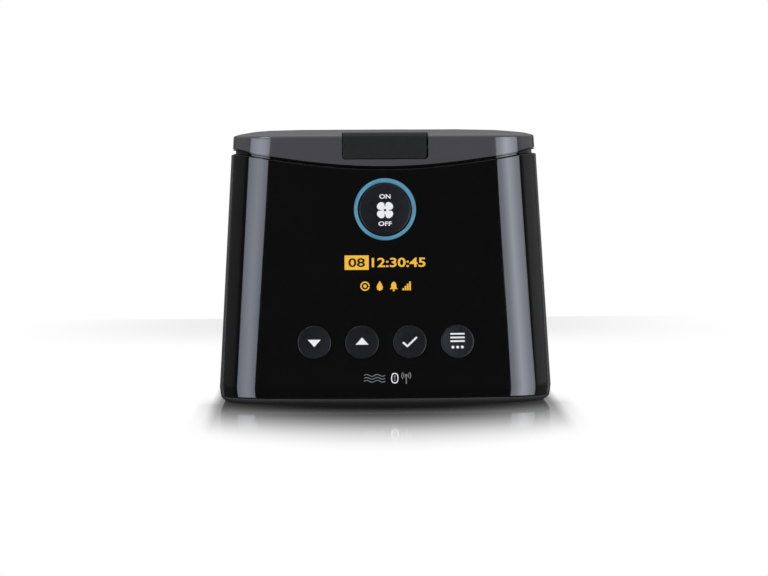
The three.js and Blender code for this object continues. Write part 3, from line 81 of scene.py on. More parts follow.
# Outer form of the case, the same as the frame's solids
HALF_WIDTH = 92.5 * MM
TOP_HALF_WIDTH = 84.6 * MM
FRONT_Y = -136 * MM
REAR_Y = 128 * MM
FRONT_SETBACK = 13.6 * MM
BOW_RADIUS = 700 * MM
CORNER_REACH = 25 * MM
CORNER_DEPTH = 18 * MM
REAR_CORNER = 20 * MM
LEAST_CORNER_SHARE = 0.25
HANDLE_SHARE = 0.5523
WIDEST_Z = 9 * MM
EDGE_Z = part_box("lid_cover")[1][2] - 2 * MM
CROWN = 2 * MM
CROWN_SPREAD = 5.5 * MM
EDGE_ROUNDING = 1.2 * MM
CASE_LOW_Z = 4.5 * MM
SKIRT_TUCK = 0.5 * MM
CASE_WALL = 2.5 * MM
SEAM_DEPTH = 15 * MM
SEAM_GAP = 0.5 * MM
# Near-black strips sit in the grooves of the front panel's side seams as painted shade
SEAM_SHADE_DEPTH = 0.45 * MM
SEAM_SHADE_THICKNESS = 1.8 * MM

# Line between front panel and lid
RIM_Z = 137.9 * MM
DIP_DEPTH = 8 * MM
DIP_HALF_WIDTH = 78 * MM
DIP_Z = RIM_Z - DIP_DEPTH
LID_GAP_FRONT = 0.9 * MM
LID_GAP_SIDE = 2.4 * MM
RAMP_START = 74 * MM
RAMP_END = 82 * MM

# Lid and latch
LID_WALL = 2.2 * MM
LID_REAR_Y = 23.6 * MM
LID_WIDTH_SHARE = 0.9925
LID_CAVITY_REAR_Y = 16.4 * MM
LID_EDGE = 0.25 * MM
CROWN_INSETS = (60, 34, 26, 20, 15, 11, 8, 5.5, 3.8, 2.4)  # of the rings over the lid's top, in mm
LID_SLAB = (4.1 * MM, 0.6 * MM)  # half width and half thickness of what cuts the side seams into the lid
LATCH_HALF_WIDTH = 23.2 * MM
LATCH_Z = DIP_Z + 5.8 * MM
LATCH_TOP_LENGTH = 8 * MM
LATCH_GAP = 0.28 * MM
LATCH_GAP_RIGHT = 0.9 * MM
LATCH_TRAVEL = 2 * MM
LATCH_HOOK_HALF_WIDTH = 9 * MM
LATCH_CORE_HALF_WIDTH = 19 * MM
HINGE_X = 52 * MM
HINGE_Y = 23 * MM
KNUCKLE_RADIUS = 2.7 * MM
KNUCKLE_HALF_WIDTH = 5 * MM
KNUCKLE_WALL_Y = 18.2 * MM
KNUCKLE_NOTCH_Y = 18.6 * MM
KNUCKLE_NOTCH_HALF_WIDTH = 9.6 * MM
KNUCKLE_BORE_RADIUS = 1.5 * MM
HINGE_PIN_RADIUS = 1.2 * MM

# Keys and start button
KEYS = {"down": -39.45 * MM, "up": -13.15 * MM, "confirm": 13.15 * MM, "menu": 39.45 * MM}
KEYS_Z = 35.3 * MM
KEY_RADIUS = 9.3 * MM
KEY_THICKNESS = 4.2 * MM
KEY_FLANGE = 1.3 * MM
KEY_FLANGE_THICKNESS = 1.1 * MM
STEM_LENGTH = 8 * MM
STEM_RADIUS = 2.5 * MM
START_Z = DIP_Z - 21.8 * MM
START_RADIUS = 14.2 * MM
START_THICKNESS = 5 * MM
START_GUIDE_RADIUS = 14.8 * MM
START_GUIDE_FRONT = 3 * MM
RING_OUTER = 17.2 * MM
RING_INNER = 15.1 * MM
RING_SHOWN = 16.95 * MM
RING_GAP = 0.15 * MM
RING_DEPTH = 7 * MM
RING_ROUNDING = 0.45 * MM
RING_FLANGE_RADIUS = 19 * MM
RING_FLANGE_BACK = 4 * MM
RING_FLANGE_FRONT = 2.8 * MM
FIT = 0.3 * MM

# Base and feet; the base band's outline is [height, inset from the case's widest outline] in mm
BASE_OUTLINE = (
    (0.6, 14), (0.6, 5.6), (0.7, 5.0), (1.0, 4.1), (1.5, 3.1), (2.2, 2.1), (3.0, 1.25), (3.7, 0.75), (4.05, 0.62),
    (4.2, 0.8))
FOOT_RADIUS = 5.9 * MM
FOOT_HEIGHT = 1.6 * MM
FOOT_SEAT_RADIUS = 6.3 * MM
FOOT_SEAT_HEIGHT = 1.9 * MM

# Signs on the front panel, in mm above the floor
CLOCK_Z = 78.9
ICONS_Z = 66.0
PRINT_Z = 15.6

# Elbow of the air outlet
ELBOW_X = 38.5 * MM
ELBOW_Y = 104 * MM
ELBOW_RADIUS = 11 * MM
ELBOW_WALL = 1.9 * MM
ELBOW_BEND = 12 * MM
ELBOW_COLLAR_DROP = 14 * MM

# Camera, fitted to the photograph's frame of 768 by 576
IMAGE_WIDTH = 768
FOCAL_PIXELS = 2100
CAMERA_PLACE = Vector((-23.7, -1280.8, 158.6)) * MM
CAMERA_DOWN = math.radians(4.654)
CAMERA_RIGHT = math.radians(1.137)
CAMERA_ROLL = math.radians(-0.308)
SENSOR_WIDTH = 36


def lerp(a, b, share):
    return a + (b - a) * share


# Case geometry

def half_width_at(z):
    """Half the case's width at a height"""
    slope = (HALF_WIDTH - TOP_HALF_WIDTH) / (EDGE_Z - WIDEST_Z)
    return HALF_WIDTH - slope * max(0, z - WIDEST_Z)


def front_y_at(z):
    """Where the middle of the front lies at a height"""
    return FRONT_Y + front_slope() * max(0, z - WIDEST_Z)


def front_slope():
    """How far the front leans back for each metre up"""
    return FRONT_SETBACK / (EDGE_Z - WIDEST_Z)


def bow_at(x):
    """How far the bowed front lies behind its middle"""
    return BOW_RADIUS - math.sqrt(BOW_RADIUS ** 2 - x ** 2)


def dip_line(x):
    """Height of the front panel's upper edge, which dips in the middle"""
    share = min(1, abs(x) / DIP_HALF_WIDTH)
    return DIP_Z + DIP_DEPTH * (1 - math.cos(share * math.pi / 2))


def lid_line(x):
    """Height of the lid's lower edge"""
    share = (abs(x) - RAMP_START) / (RAMP_END - RAMP_START)
    ramp = min(1, max(0, share))
    return dip_line(x) + lerp(LID_GAP_FRONT, LID_GAP_SIDE, ramp)


def rounding_steps(radius):
    """Distances from an edge, close together where a rounded edge turns fastest"""
    return [radius * (1 - math.cos(math.pi / 2 * i / 4)) for i in range(4)]


def rounding_depth(distance, radius):
    """How far a rounded edge lies below the surface at a distance from the edge"""
    if distance >= radius:
        return 0
    return radius - math.sqrt(radius ** 2 - (radius - distance) ** 2)


def half_outline(z, inset=0, rear=None, steps=(22, 22, 14, 12)):
    """Points of the case's outline at a level, from the middle of the front round the right side"""
    front_steps, corner_steps, side_steps, rear_steps = steps
    half = half_width_at(z) - inset
    front = front_y_at(z) + inset

    def left_of(size):
        return max(size - inset, size * LEAST_CORNER_SHARE)

    start_x = half - left_of(CORNER_REACH)
    start_y = front + bow_at(start_x)
    end_y = start_y + left_of(CORNER_DEPTH)
    slope = start_x / math.sqrt(BOW_RADIUS ** 2 - start_x ** 2)
    reach = (half - start_x) * HANDLE_SHARE
    control = np.array([
        (start_x, start_y), (start_x + reach, start_y + reach * slope),
        (half, end_y - (end_y - start_y) * HANDLE_SHARE), (half, end_y)])
    points = [(x, front + bow_at(x)) for x in np.linspace(0, start_x, front_steps, endpoint=False)]
    for t in np.linspace(0, 1, corner_steps, endpoint=False):
        weights = np.array([(1 - t) ** 3, 3 * (1 - t) ** 2 * t, 3 * (1 - t) * t ** 2, t ** 3])
        points.append(tuple(weights @ control))
    if rear is not None:
        points += [(half, y) for y in np.linspace(end_y, rear, side_steps)]
        points += [(x, rear) for x in np.linspace(half, 0, rear_steps)[1:]]
        return points
    radius = left_of(REAR_CORNER)
    rear_y = REAR_Y - inset
    points += [(half, y) for y in np.linspace(end_y, rear_y - radius, side_steps, endpoint=False)]
    for angle in np.linspace(0, math.pi / 2, corner_steps, endpoint=False):
        points.append((half - radius + radius * math.cos(angle), rear_y - radius + radius * math.sin(angle)))
    points += [(x, rear_y) for x in np.linspace(half - radius, 0, rear_steps)]
    return points


def full_outline(z, inset=0, rear=None):
    """The whole closed outline at a level, from the middle of the front round by the right"""
    right = half_outline(z, inset, rear)
    left = [(-x, y) for x, y in reversed(right[1:-1])]
    return right + left


def crown_rise(inset):
    """How far the lid's top rises at an inset from its edge"""
    return CROWN * (1 - math.exp(-max(0, inset - EDGE_ROUNDING) / CROWN_SPREAD))


def panel_point(x, z, lift=0):
    """A point of the front panel, raised straight out of it by a lift"""
    return Vector((x, front_y_at(z) + bow_at(x), z)) + panel_axes(x)[2] * lift


def panel_axes(x):
    """Directions to the right, up and straight out on the front panel"""
    slope = x / math.sqrt(BOW_RADIUS ** 2 - x ** 2)
    out = Vector((slope, -1, front_slope())).normalized()
    right = Vector((1, slope, 0)).normalized()
    return right, out.cross(right), out


def panel_matrix(x, z):
    """Frame on the front panel whose third axis points out of the panel"""
    axes = Matrix(panel_axes(x)).transposed().to_4x4()
    return Matrix.Translation(panel_point(x, z)) @ axes


# Mesh making

def placed(name, data):
    """An object in the scene that shows a mesh or another kind of data"""
    body = bpy.data.objects.new(name, data)
    bpy.context.scene.collection.objects.link(body)
    return body


def mesh_object(name, points, faces):
    mesh = bpy.data.meshes.new(name)
    mesh.from_pydata([tuple(p) for p in points], [], faces)
    return placed(name, mesh)


def tidy_normals(piece, sharp_angle):
    """Points all faces outwards and shades them smooth except across sharp edges"""
    mesh = piece.data
    work = bmesh.new()
    work.from_mesh(mesh)
    bmesh.ops.remove_doubles(work, verts=work.verts, dist=0.004 * MM)
    bmesh.ops.dissolve_degenerate(work, edges=work.edges, dist=0.002 * MM)
    bmesh.ops.recalc_face_normals(work, faces=work.faces)
    work.to_mesh(mesh)
    work.free()
    mesh.shade_smooth()
    mesh.set_sharp_from_angle(angle=math.radians(sharp_angle))


def stack(name, rings, looped=False):
    """Closed form through rings with the same number of points, capped at both ends or led round to its start"""
    if looped:
        rings = rings + [rings[0]]
    count = len(rings[0])
    points = [p for ring in rings for p in ring]
    faces = []
    for level in range(len(rings) - 1):
        for i in range(count):
            a = level * count + i
            b = level * count + (i + 1) % count
            faces.append((a, b, b + count, a + count))
    if not looped:
        top = (len(rings) - 1) * count
        faces += [tuple(reversed(range(count))), tuple(range(top, top + count))]
    return mesh_object(name, points, faces)


def turned(name, outline, matrix=None, steps=96):
    """Turned form from its [radius, height] outline, which is open where it meets the axis"""
    points, faces, rings = [], [], []
    for radius, height in outline:
        if radius < 1e-7:
            rings.append([len(points)])
            points.append(Vector((0, 0, height)))
        else:
            rings.append(list(range(len(points), len(points) + steps)))
            points += [Vector((radius * math.cos(a), radius * math.sin(a), height))
                       for a in (2 * math.pi * i / steps for i in range(steps))]
    for lower, upper in zip(rings, rings[1:] + rings[:1]):
        if len(lower) == 1 and len(upper) == 1:
            continue
        for i in range(steps):
            j = (i + 1) % steps
            corners = [lower[i % len(lower)], lower[j % len(lower)], upper[j % len(upper)], upper[i % len(upper)]]
            faces.append(tuple(dict.fromkeys(corners)))
    if matrix:
        points = [matrix @ p for p in points]
    return mesh_object(name, points, faces)


def sheet(name, us, vs, place, wall, radius, corner=0):
    """Thin closed panel over a grid of lengths, with rounded edges and corners; place(u, v, depth) gives a point"""
    (u0, u1), (v0, v1) = (us[0], us[-1]), (vs[0], vs[-1])
    points, faces = [], []
    columns, rows = len(us), len(vs)

    def warped(u, v):
        for cu, su in ((u0 + corner, -1), (u1 - corner, 1)):
            for cv, sv in ((v0 + corner, -1), (v1 - corner, 1)):
                a, b = (u - cu) * su, (v - cv) * sv
                if corner and a > 0 and b > 0:
                    grow = max(a, b) / math.hypot(a, b)
                    return cu + a * su * grow, cv + b * sv * grow
        return u, v

    for depth_side in (0, 1):
        for v in vs:
            for u in us:
                distance = min(u - u0, u1 - u, v - v0, v1 - v)
                depth = wall if depth_side else rounding_depth(distance, radius)
                points.append(place(*warped(u, v), depth))
    size = columns * rows
    for r in range(rows - 1):
        for c in range(columns - 1):
            a = r * columns + c
            faces.append((a, a + 1, a + 1 + columns, a + columns))
            faces.append(tuple(size + k for k in (a + columns, a + 1 + columns, a + 1, a)))
    border = ([(0, c) for c in range(columns - 1)] + [(r, columns - 1) for r in range(rows - 1)]
              + [(rows - 1, c) for c in range(columns - 1, 0, -1)] + [(r, 0) for r in range(rows - 1, 0, -1)])
    border = [r * columns + c for r, c in border]
    for a, b in zip(border, border[1:] + border[:1]):
        faces.append((b, a, size + a, size + b))
    return mesh_object(name, points, faces)


def spaced(low, high, radius, step):
    """Lengths from low to high: close together at both ends for the rounding, even between"""
    ends = rounding_steps(radius)
    count = max(2, round((high - low - 2 * radius) / step))
    middle = np.linspace(low + radius, high - radius, count + 1)
    return [low + e for e in ends] + list(middle) + [high - e for e in reversed(ends)]


def box_object(name, low, high):
    (x0, y0, z0), (x1, y1, z1) = low, high
    points = [(x, y, z) for z in (z0, z1) for y in (y0, y1) for x in (x0, x1)]
    faces = [(0, 2, 3, 1), (4, 5, 7, 6), (0, 1, 5, 4), (2, 6, 7, 3), (0, 4, 6, 2), (1, 3, 7, 5)]
    return mesh_object(name, points, faces)


def joined_mesh(name, parts):
    """One object from several, whose own objects go"""
    work = bmesh.new()
    for part in parts:
        work.from_mesh(part.data)
    mesh = bpy.data.meshes.new(name)
    work.to_mesh(mesh)
    work.free()
    for part in parts:
        bpy.data.objects.remove(part)
    return placed(name, mesh)


def outward(piece):
    """Points all faces of a closed form outwards"""
    work = bmesh.new()
    work.from_mesh(piece.data)
    bmesh.ops.recalc_face_normals(work, faces=work.faces)
    if work.calc_volume(signed=True) < 0:
        bmesh.ops.reverse_faces(work, faces=work.faces)
    work.to_mesh(piece.data)
    work.free()


def changed(piece, kind, keep_layers=False, **settings):
    """Applies one modifier to a piece's mesh"""
    modifier = piece.modifiers.new(kind.lower(), kind)
    for name, value in settings.items():
        setattr(modifier, name, value)
    graph = bpy.context.evaluated_depsgraph_get()
    mesh = bpy.data.meshes.new_from_object(
        piece.evaluated_get(graph), preserve_all_data_layers=keep_layers, depsgraph=graph)
    piece.modifiers.clear()
    piece.data = mesh
    return piece


def carved(piece, *tools):
    """Cuts each tool out of a piece in turn; the tools go"""
    outward(piece)
    for tool in tools:
        outward(tool)
        changed(piece, "BOOLEAN", operation="DIFFERENCE", solver="EXACT", object=tool)
        bpy.data.objects.remove(tool)
    return piece


def softened(piece, width):
    """Gives the sharp edges a small bevel"""
    return changed(piece, "BEVEL", width=width, segments=2, limit_method="ANGLE", angle_limit=math.radians(35))


def finished(piece, finish, body, *replaced, sharp_angle=32):
    """Gives a new piece its normals, finish, body and the nodes that it stands for"""
    tidy_normals(piece, sharp_angle)
    piece.data.name = piece.name
    piece.data.materials.clear()
    piece.data.materials.append(material_for(finish))
    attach(piece, body)
    slot_of(finish)
    if replaced:
        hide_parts(*replaced)
    return piece


def evened(piece):
    """Lets large faces keep their own direction, so that only the rounding beside them shades round"""
    changed(piece, "WEIGHTED_NORMAL", keep_layers=True, keep_sharp=True)
    piece.data.name = piece.name
    return piece


# Shader making

def both_ways(operation):
    """An operator that adds a Math node, and its reflected form"""
    return (lambda self, other: self.graph.math(operation, self, other),
            lambda self, other: self.graph.math(operation, other, self))


class Value:
    """A socket of a shader node, with Python's operators for its Math nodes"""

    def __init__(self, graph, socket):
        self.graph = graph
        self.socket = socket

    __add__, __radd__ = both_ways("ADD")
    __sub__, __rsub__ = both_ways("SUBTRACT")
    __mul__, __rmul__ = both_ways("MULTIPLY")
    __truediv__, __rtruediv__ = both_ways("DIVIDE")
    __pow__, __rpow__ = both_ways("POWER")

    def __abs__(self):
        return self.graph.math("ABSOLUTE", self)

    def ramp(self, low, high):
        """0 at low, 1 at high, straight between"""
        return self.graph.node("ShaderNodeMapRange", None, {"Value": self, "From Min": low, "From Max": high})

    def between(self, low, high):
        """0 at low, 1 at high, with soft ends"""
        return self.graph.node("ShaderNodeMapRange", {"interpolation_type": "SMOOTHSTEP"},
                               {"Value": self, "From Min": low, "From Max": high})


class Graph:
    """The node tree of a material or of the world"""

    def __init__(self, owner):
        owner.use_nodes = True
        self.tree = owner.node_tree
        self.tree.nodes.clear()

    def node(self, kind, settings=None, values=None, out=0):
        made = self.tree.nodes.new(kind)
        for name, value in (settings or {}).items():
            if name == "stops":
                ramp = made.color_ramp
                while len(ramp.elements) < len(value):
                    ramp.elements.new(1)
                for element, (place, colour) in zip(ramp.elements, value):
                    element.position = place
                    element.color = (*colour, 1)
            else:
                setattr(made, name, value)
        for name, value in (values or {}).items():
            if isinstance(value, Value):
                self.tree.links.new(value.socket, made.inputs[name])
            else:
                made.inputs[name].default_value = value
        return Value(self, made.outputs[out]) if made.outputs else made

    def math(self, operation, *values):
        return self.node("ShaderNodeMath", {"operation": operation}, dict(enumerate(values)))

    def colours(self, first, second, share):
        """Mixes two colours"""
        ends = [(*c, 1) if isinstance(c, tuple) else c for c in (first, second)]
        return self.node("ShaderNodeMix", {"data_type": "RGBA"}, {0: share, 6: ends[0], 7: ends[1]}, out=2)

    def tones(self, colour, low, high, share):
        """Mixes two shades of a colour, each given as a share of its brightness"""
        return self.colours(darker(colour, low), darker(colour, high), share)

    def place(self):
        """Place on the object, in metres"""
        return self.node("ShaderNodeTexCoord", out=3)

    def parts(self, vector):
        split = self.node("ShaderNodeSeparateXYZ", None, {0: vector})
        return [Value(self, socket) for socket in split.socket.node.outputs]

    def stretched(self, vector, scale):
        return self.node("ShaderNodeMapping", None, {"Vector": vector, "Scale": scale})

    def noise(self, vector, size, detail=3, roughness=0.5):
        """Soft noise whose lumps are of a size in metres"""
        return self.node("ShaderNodeTexNoise", None,
                         {"Vector": vector, "Scale": 1 / size, "Detail": detail, "Roughness": roughness})

    def cells(self, vector, size, feature="F1"):
        """Round cells of a size in metres"""
        return self.node("ShaderNodeTexVoronoi", {"feature": feature}, {"Vector": vector, "Scale": 1 / size})

    def bump(self, height, depth):
        """Normals of a surface whose height goes from 0 to a depth in metres"""
        return self.node("ShaderNodeBump", None, {"Height": height, "Distance": depth, "Strength": 1.0})

    def surface(self, **values):
        """The material's surface, with the Principled shader's sockets as lower-case names"""
        names = {name.replace("_", " ").title().replace("Ior", "IOR"): value for name, value in values.items()}
        if isinstance(names["Base Color"], tuple):
            names["Base Color"] = (*names["Base Color"], 1)
        shader = self.node("ShaderNodeBsdfPrincipled", None, names)
        self.node("ShaderNodeOutputMaterial", None, {"Surface": shader})


def linear(colour):
    """A colour as it is seen, from 0 to 255, as the value that a shader takes"""
    shares = [c / 255 for c in colour]
    return tuple(s / 12.92 if s <= 0.04045 else ((s + 0.055) / 1.055) ** 2.4 for s in shares)


def darker(colour, share):
    return tuple(c * share for c in colour)


# Finishes

def polished_plastic(graph, colour, roughness=0.045):
    """Polished plastic with faint smudges in its gloss and a very slight ripple"""
    place = graph.place()
    smudges = graph.noise(place, 22 * MM, 4, 0.6)
    ripple = graph.noise(place, 9 * MM, 2)
    graph.surface(
        base_color=graph.tones(colour, 0.86, 1.14, smudges),
        roughness=roughness + smudges.between(0.45, 0.8) * 0.03,
        ior=1.49,
        normal=graph.bump(ripple, 0.004 * MM))


def moulded_plastic(graph, colour, roughness):
    """Moulded plastic with a fine spark-eroded grain"""
    place = graph.place()
    pits = graph.noise(place, 0.35 * MM, 3, 0.65)
    patches = graph.noise(place, 30 * MM, 3)
    tint = graph.tones(colour, 0.9, 1.1, patches)
    graph.surface(
        base_color=graph.colours(tint, darker(colour, 0.72), pits.between(0.5, 0.75) * 0.35),
        roughness=roughness + (pits - 0.5) * 0.18 + (patches - 0.5) * 0.08,
        ior=1.5,
        normal=graph.bump(pits, 0.02 * MM))


def base_plastic_painted_shade(graph, colour):
    """Grained plastic of the base band, with painted light along its top and painted shade darkening it towards the
    floor
    """
    place = graph.place()
    # Painted shade and light: the height makes the band darker towards the floor and lighter along its top
    height = graph.parts(place)[2].between(0.4 * MM, 4.4 * MM)
    pits = graph.noise(place, 0.35 * MM, 3, 0.65)
    tone = graph.tones(colour, 0.18, 1.25, height)
    graph.surface(
        base_color=graph.colours(tone, darker(colour, 0.5), pits.between(0.5, 0.75) * 0.3),
        roughness=0.62 + (pits - 0.5) * 0.15,
        ior=1.5, specular_ior_level=0.25,
        normal=graph.bump(pits, 0.02 * MM))


def lid_plastic(graph, colour):
    """Charcoal plastic with a soft gloss and a very fine grain"""
    place = graph.place()
    pits = graph.noise(place, 0.25 * MM, 2, 0.6)
    patches = graph.noise(place, 26 * MM, 4, 0.55)
    crown = graph.parts(place)[2].between(EDGE_Z - 0.5 * MM, EDGE_Z + 0.5 * MM)
    graph.surface(
        base_color=graph.tones(colour, 0.93, 1.07, patches),
        roughness=0.075 + patches.between(0.4, 0.8) * 0.03 + (pits - 0.5) * 0.02 + crown * 0.3,
        ior=1.5,
        normal=graph.bump(pits, 0.0015 * MM))


def grained_plastic(graph, colour):
    """Dark plastic with a leather-like grain"""
    place = graph.place()
    cells = graph.cells(place, 0.9 * MM, "SMOOTH_F1")
    pits = graph.noise(place, 0.4 * MM, 3, 0.7)
    height = cells * 0.7 + pits * 0.5
    graph.surface(
        base_color=graph.tones(colour, 0.7, 1.3, height.between(0.25, 0.85)),
        roughness=0.72 + (pits - 0.5) * 0.2,
        ior=1.48, specular_ior_level=0.28,
        normal=graph.bump(height, 0.05 * MM))


def key_plastic(graph, colour):
    """Satin plastic of the keys, worn a little brighter and glossier in broad patches"""
    place = graph.place()
    fine = graph.noise(place, 0.3 * MM, 3, 0.6)
    broad = graph.noise(place, 8 * MM, 3)
    graph.surface(
        base_color=graph.tones(colour, 0.9, 1.12, broad),
        roughness=0.3 + (fine - 0.5) * 0.1 - broad.between(0.4, 0.8) * 0.05,
        ior=1.45, specular_ior_level=0.4,
        normal=graph.bump(fine, 0.006 * MM))


def lit_ring(graph, colour):
    """Translucent plastic that is lit from behind, a little uneven between its lamps"""
    place = graph.place()
    lamps = graph.noise(place, 7 * MM, 2)
    glow = graph.tones(colour, 0.84, 1.04, lamps.between(0.35, 0.65))
    graph.surface(
        base_color=darker(colour, 0.25),
        roughness=0.25 + lamps * 0.1,
        ior=1.49,
        emission_color=glow, emission_strength=0.93)


def printed(graph, colour, strength=0.0):
    """Screen-printed ink, or a lit symbol where it has a strength"""
    place = graph.place()
    mottle = graph.noise(place, 0.5 * MM, 2)
    ink = graph.tones(colour, 0.93, 1, mottle)
    if strength:
        graph.surface(base_color=darker(colour, 0.05), roughness=0.2 + mottle * 0.1,
                      emission_color=ink, emission_strength=strength)
    else:
        graph.surface(base_color=ink, roughness=0.42 + mottle * 0.1, ior=1.45)


def metal(graph, colour, roughness, grain=(1, 1, 1)):
    """Plain metal, or brushed or layered metal where its grain is finer along one axis"""
    place = graph.stretched(graph.place(), grain)
    lines = graph.noise(place, 0.4 * MM, 4, 0.6)
    patches = graph.noise(graph.place(), 2 * MM, 3)
    graph.surface(
        base_color=graph.tones(colour, 0.85, 1.05, lines),
        metallic=1.0,
        roughness=roughness + (lines - 0.5) * 0.16 + (patches - 0.5) * 0.08,
        normal=graph.bump(lines, 0.004 * MM))


def clear_plastic(graph, colour):
    """Clear moulded plastic with faint flow lines"""
    flow = graph.noise(graph.stretched(graph.place(), (1, 1, 0.3)), 14 * MM, 3)
    graph.surface(
        base_color=graph.tones(colour, 0.94, 1, flow),
        roughness=0.04 + flow.between(0.4, 0.8) * 0.05,
        ior=1.5, transmission_weight=0.88,
        normal=graph.bump(flow, 0.02 * MM))


def rubber(graph, colour, roughness=0.72):
    """Soft rubber with a powdery surface"""
    place = graph.place()
    fine = graph.noise(place, 0.5 * MM, 4, 0.65)
    broad = graph.noise(place, 6 * MM, 3)
    graph.surface(
        base_color=graph.tones(colour, 0.85, 1.12, fine * 0.5 + broad * 0.5),
        roughness=roughness + (fine - 0.5) * 0.15,
        ior=1.45,
        normal=graph.bump(fine, 0.02 * MM))


def circuit_board(graph, colour):
    """Green board with copper tracks under its lacquer and small solder points"""
    place = graph.place()
    x, y, z = graph.parts(place)
    wobble = graph.noise(place, 12 * MM, 1) * 6
    along = (x + y + z) / (2.2 * MM) + wobble
    track_mask = graph.math("PINGPONG", along, 1.0).between(0.62, 0.7)
    points = graph.cells(place, 3.1 * MM)
    solder = 1 - points.between(0.12, 0.18)
    green = graph.tones(colour, 1, 1.7, track_mask)
    graph.surface(
        base_color=graph.colours(green, (0.62, 0.62, 0.6), solder),
        metallic=solder * 0.9,
        roughness=0.32 + solder * 0.1 - track_mask * 0.06,
        normal=graph.bump(track_mask * 0.5 + solder, 0.05 * MM))


def foam(graph, colour):
    """Open-cell foam"""
    place = graph.place()
    cells = graph.cells(place, 1.1 * MM)
    graph.surface(
        base_color=graph.tones(colour, 0.45, 1.25, cells.between(0.1, 0.6)),
        roughness=0.95 - cells * 0.05,
        normal=graph.bump(cells, 0.5 * MM))


def fleece(graph, colour):
    """Filter fleece with fine crossing fibres"""
    place = graph.place()
    first = graph.noise(graph.stretched(place, (1, 1, 7)), 1.2 * MM, 4, 0.7)
    second = graph.noise(graph.stretched(place, (7, 1, 1)), 1.4 * MM, 4, 0.7)
    fibres = first * 0.5 + second * 0.5
    graph.surface(
        base_color=graph.tones(colour, 0.8, 1, fibres.between(0.35, 0.6)),
        roughness=0.9 + (fibres - 0.5) * 0.1,
        normal=graph.bump(fibres, 0.25 * MM))


def windings(graph, colour):
    """Lacquered copper wire wound round an upright axis"""
    place = graph.place()
    height = graph.parts(place)[2]
    wire = graph.math("PINGPONG", height / (0.6 * MM), 0.5)
    patches = graph.noise(place, 5 * MM, 2)
    graph.surface(
        base_color=graph.tones(colour, 0.5, 1.1, wire * 1.6 + (patches - 0.5) * 0.5),
        metallic=0.9, roughness=0.34 + patches * 0.1,
        normal=graph.bump(wire, 0.25 * MM))


# Finishes: what makes each one, its colour as a setting's name or as it is seen, and what else the maker takes
FINISHES = {
    "gloss_black": (polished_plastic, "gloss_black"),
    "lid_charcoal": (lid_plastic, "lid_charcoal"),
    "case_charcoal": (moulded_plastic, "case_charcoal", 0.4),
    "latch_texture": (grained_plastic, "latch_dark"),
    "key_black": (key_plastic, "key_black"),
    "ring_blue": (lit_ring, "ring_blue"),
    "inner_grey": (moulded_plastic, "inner_grey", 0.5),
    "inner_black": (moulded_plastic, "inner_black", 0.5),
    "clear_plastic": (clear_plastic, (226, 236, 240)),
    "silicone": (rubber, (186, 190, 194), 0.6),
    "dark_rubber": (rubber, (26, 26, 29)),
    # Near-black finish of the strips in the seam grooves, painted shade
    "seam_rubber": (rubber, (6, 6, 7), 0.8),
    "base_charcoal": (base_plastic_painted_shade, "case_charcoal"),
    "steel": (metal, (186, 187, 189), 0.3),
    "aluminium": (metal, (198, 200, 202), 0.34, (1, 22, 1)),
    "brass": (metal, (196, 168, 98), 0.28),
    "board_green": (circuit_board, (16, 54, 36)),
    "display_glass": (polished_plastic, (16, 18, 24), 0.06),
    "foam_grey": (foam, (92, 95, 100)),
    "filter_white": (fleece, (236, 236, 230)),
    "wire": (windings, (184, 110, 62)),
    "core_steel": (metal, (120, 122, 126), 0.4, (1, 1, 30)),
    "amber_light": (printed, "display_amber", 1.0),
    "dark_light": (printed, (52, 38, 10), 0.6),
    "white_print": (printed, "print_white"),
    "grey_print": (printed, "print_grey"),
}
# Finishes whose slot in the frame has another name
SLOT_OF_FINISH = {
    "seam_rubber": "dark_rubber", "base_charcoal": "case_charcoal",
    "wire": "brass", "core_steel": "brass", "amber_light": "display_glass", "dark_light": "display_glass",
    "white_print": "key_black", "grey_print": "gloss_black",
}


def slot_of(finish):
    return SLOT_OF_FINISH.get(finish, finish)


def material_for(finish):
    """The material of a finish, made when it is first asked for"""
    name = "cpap_" + finish
    made = bpy.data.materials.get(name)
    if made is None:
        made = bpy.data.materials.new(name)
        maker, colour, *details = FINISHES[finish]
        swatches = bpy.context.scene.cpap_finishes
        shade = getattr(swatches, colour) if isinstance(colour, str) else linear(colour)
        maker(Graph(made), tuple(shade), *details)
    return made


# Settings that a user would change

def length(name, description, default):
    return FloatProperty(name=name, description=description, default=default, unit="LENGTH", precision=5)


def swatch(name, description, default):
    return FloatVectorProperty(name=name, description=description, default=linear(default), subtype="COLOR",
                               size=3, min=0, max=1)


def brightness(name, lamp, default):
    return FloatProperty(name=name, description="Brightness of " + lamp, default=default, min=0)


class CpapSizes(bpy.types.PropertyGroup):
    """Sizes of the visible details"""

    panel_rounding: length("Panel rounding", "Radius along the front panel's outer edges", 0.45 * MM)
    seam_groove: length("Seam groove", "Width of the shadow groove beside the front panel's side seams", 1.5 * MM)
    # The trim is gloss black as painted shade along the dark line under the lid
    lid_trim: length("Lid trim", "Height of the glossy trim along the lid's lower edge", 0.85 * MM)
    latch_corner: length("Latch corner", "Radius of the latch's lower corners", 1.7 * MM)
    latch_rounding: length("Latch rounding", "Radius along the latch's edges", 0.45 * MM)
    key_dish: length("Key dish", "How far the middle of a key lies below its rim", 0.25 * MM)
    key_rounding: length("Key rounding", "Radius of a key's rim", 0.55 * MM)
    symbol_lift: length("Symbol lift", "How far a printed symbol stands out of its surface", 0.05 * MM)
    edge_softness: FloatProperty(
        name="Edge softness", description="Scale of the rounding along the housing's edges, where 1 is as built",
        default=1, min=0)
    grid_step: length("Grid step", "Width of the faces on the curved panels", 3 * MM)


